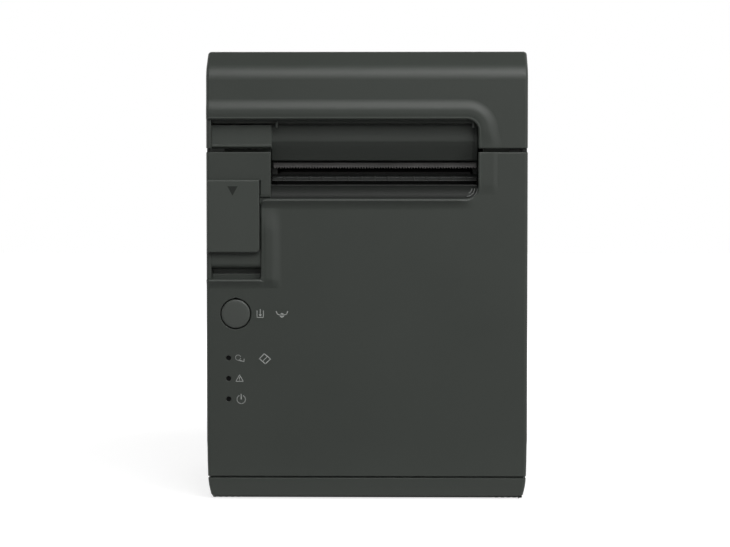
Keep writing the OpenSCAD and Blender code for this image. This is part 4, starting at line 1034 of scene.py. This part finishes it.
def dress_cad_parts():
    """Materials and softly broken edges on every CAD node."""
    slots = {row["node"]: row["material_slot"] for row in frame["record"]["subparts"]}
    steps = shading_steps()
    for name, node in frame["nodes"].items():
        node.data.materials.clear()
        node.data.materials.append(SHADE_STEEL if name in SHADED_IN_SLOT else MATERIALS[slots[name]])
        node.modifiers.new("shading", "NODES").node_group = steps
        if name not in TOO_FINE:
            bevel = node.modifiers.new("broken edges", "BEVEL")
            bevel.width = BROKEN * MM
            bevel.segments = 2
            bevel.limit_method = "ANGLE"
            bevel.angle_limit = radians(40)
            node.modifiers.new("level faces", "WEIGHTED_NORMAL").keep_sharp = True


# ---- Floor, light and camera ----

MIRRORED_FLOOR = (-0.16, -0.06)  # metal and glass mirror a white floor behind these depths, in metres
GLOW_REACH = (0.15, 0.7)  # where the floor turns whiter, in metres from the middle
NEAR_GLOW = 0.75  # its glow beside the printer
BACKDROP_START = (-0.5, -0.1)  # where the mirrored backdrop begins, along a direction's Y
BACKDROP_TOP = (0.7, 0.4)  # and where it ends, along Z
ROOM_FRONT = (0.2, -0.9)  # where the room gets lighter, along Y
ROOM_LIGHT = 0.1
FRONT_LIGHT = 0.05

LIT_SPOT = (0, 0, 110)
LAMPS = {  # place, size, and power in watts
    "key_box": ((330, -800, 960), (1200, 700), 18.6),
    "right_box": ((700, -780, 300), (400, 600), 1.2),
    "left_box": ((-900, -100, 300), (400, 700), 1.0),
    "rear_box": ((0, 900, 600), (900, 500), 3.0),
}


def ramp(value, low, high):
    """0 to 1 as a value goes from low to high, with level ends."""
    values = {"From Min": low, "From Max": high, "Value": value}
    return add(value.id_data, "MapRange", values, interpolation_type="SMOOTHSTEP").outputs["Result"]


def seen_white(tree, behind):
    """1 for the camera's view, and where metal and glass mirror what is behind the printer."""
    ray = add(tree, "LightPath").outputs
    straight = maths("MAXIMUM", ray["Is Camera Ray"], ray["Is Transmission Ray"])
    return maths("MAXIMUM", straight, maths("MULTIPLY", ray["Is Glossy Ray"], behind))


def floor_paper():
    """Paper that looks white, most of all far off, and keeps the printer's shadow."""
    made, surface = new_material("floor paper")
    tree = made.node_tree
    place = add(tree, "TexCoord").outputs["Object"]
    white = seen_white(tree, ramp(add(tree, "SeparateXYZ", {0: place}).outputs["Y"], *MIRRORED_FLOOR))
    far = ramp(add(tree, "VectorMath", {0: place}, operation="LENGTH").outputs["Value"], *GLOW_REACH)
    glow = maths("ADD", maths("MULTIPLY", far, 1 - NEAR_GLOW), NEAR_GLOW)
    fill(surface, {"Base Color": (0.35, 0.35, 0.35, 1), "Roughness": 0.9, "Emission Color": WHITE,
                   "Emission Strength": maths("MULTIPLY", white, glow)})
    return made


def make_floor():
    """A wide pale floor just under the printer's feet."""
    reach, top = 3000, DATUM - 0.02
    floor = solid("floor", slab(-reach, reach, -reach, reach, 0, top))
    floor.data.materials.append(floor_paper())


def make_room():
    """A grey room that is lighter in front, with a white backdrop behind."""
    world = bpy.data.worlds.new("studio")
    bpy.context.scene.world = world
    world.use_nodes = True
    tree = world.node_tree
    along = add(tree, "SeparateXYZ", {0: add(tree, "TexCoord").outputs["Generated"]}).outputs
    behind = maths("MULTIPLY", ramp(along["Y"], *BACKDROP_START), ramp(along["Z"], *BACKDROP_TOP))
    lit = maths("ADD", maths("MULTIPLY", ramp(along["Y"], *ROOM_FRONT), FRONT_LIGHT), ROOM_LIGHT)
    room = tree.nodes["Background"]
    fill(room, {"Color": WHITE, "Strength": lit})
    white = add(tree, "Background", {"Color": WHITE, "Strength": 1.0})
    mix = add(tree, "MixShader", {0: seen_white(tree, behind), 1: room.outputs[0], 2: white.outputs[0]})
    fill(tree.nodes["World Output"], {"Surface": mix.outputs[0]})


def place_in_scene(name, data, place, direction):
    """A lamp or camera at a place in millimetres, that looks in a direction."""
    made = bpy.data.objects.new(name, data)
    made.location = place * MM
    made.rotation_euler = direction.to_track_quat("-Z", "Y").to_euler()
    bpy.context.scene.collection.objects.link(made)
    return made


def make_lights():
    """A large soft key light above the front, and weak ones around."""
    for name, (place, size, power) in LAMPS.items():
        data = bpy.data.lights.new(name, "AREA")
        data.shape = "RECTANGLE"
        data.size, data.size_y = size[0] * MM, size[1] * MM
        data.energy = power
        place_in_scene(name, data, Vector(place), Vector(LIT_SPOT) - Vector(place))


def make_camera():
    """A long lens level with the front, a little to the right and above."""
    azimuth, elevation, distance = radians(1.0), radians(2.5), 1000.0
    aim, level = Vector((-0.78, FRONT, 103.0 - DATUM)), cos(elevation)
    back = Vector((sin(azimuth) * level, -cos(azimuth) * level, sin(elevation)))
    data = bpy.data.cameras.new("camera")
    data.lens, data.sensor_width = 113.2, 36.0
    bpy.context.scene.camera = place_in_scene("camera", data, aim + back * distance, -back)


# ---- Making it all ----

bpy.context.scene.view_settings.view_transform = "Standard"
make_camera()
make_floor()
make_room()
make_lights()
dress_cad_parts()

seat(make_case(), "case", "case_plastic", "main_case")
seat(make_seam_posts(), "case", "dark_plastic", coat=SHADE_BLACK)
seat([make_plate_foot()], "case", "case_plastic")
seat([make_pocket_side_rim(), make_pocket_low_rim()], "case", "case_plastic")
# The back step takes the lighter button plastic: painted light, lifting it out of the pocket's shade.
back_step, front_step = make_pocket_steps()
seat([back_step], "case", "button_plastic")
seat([front_step, make_case_right_rim(), make_case_low_rim()], "case", "case_plastic")
seat(make_base(), "case", "case_plastic", "base")
seat([make_exit_ramp()], "case", "case_plastic", "exit_tray", coat=LIP)
seat(make_corner_steps(), "case", "button_plastic", coat=GLINT_GREY)
seat(make_marks(), "case", "case_plastic", coat=PRINT)
seat(make_cover(), "cover", "cover_plastic", "cover_shell")
seat([make_cover_rim()], "cover", "cover_plastic")
seat(make_paper_guide(), "cover", "slot_plastic", "exit_guide")
seat([make_guide_pad()], "cover", "slot_plastic", coat=LEVER)
seat([make_tear_bar()], "cover", "blade_steel", "tear_bar")
seat(make_lower_guide(), "case", "dark_plastic", "lower_guide")
seat(make_slot_cheeks(), "case", "dark_plastic", coat=SHADE_BLACK)
seat([make_pocket_wall()], "case", "case_plastic")
seat([make_lever()], "lever", "case_plastic", "open_lever", coat=LEVER)
seat(make_lever_arrow(), "lever", "case_plastic", coat=ARROW)
seat([make_button()], "button", "button_plastic", "feed_button")
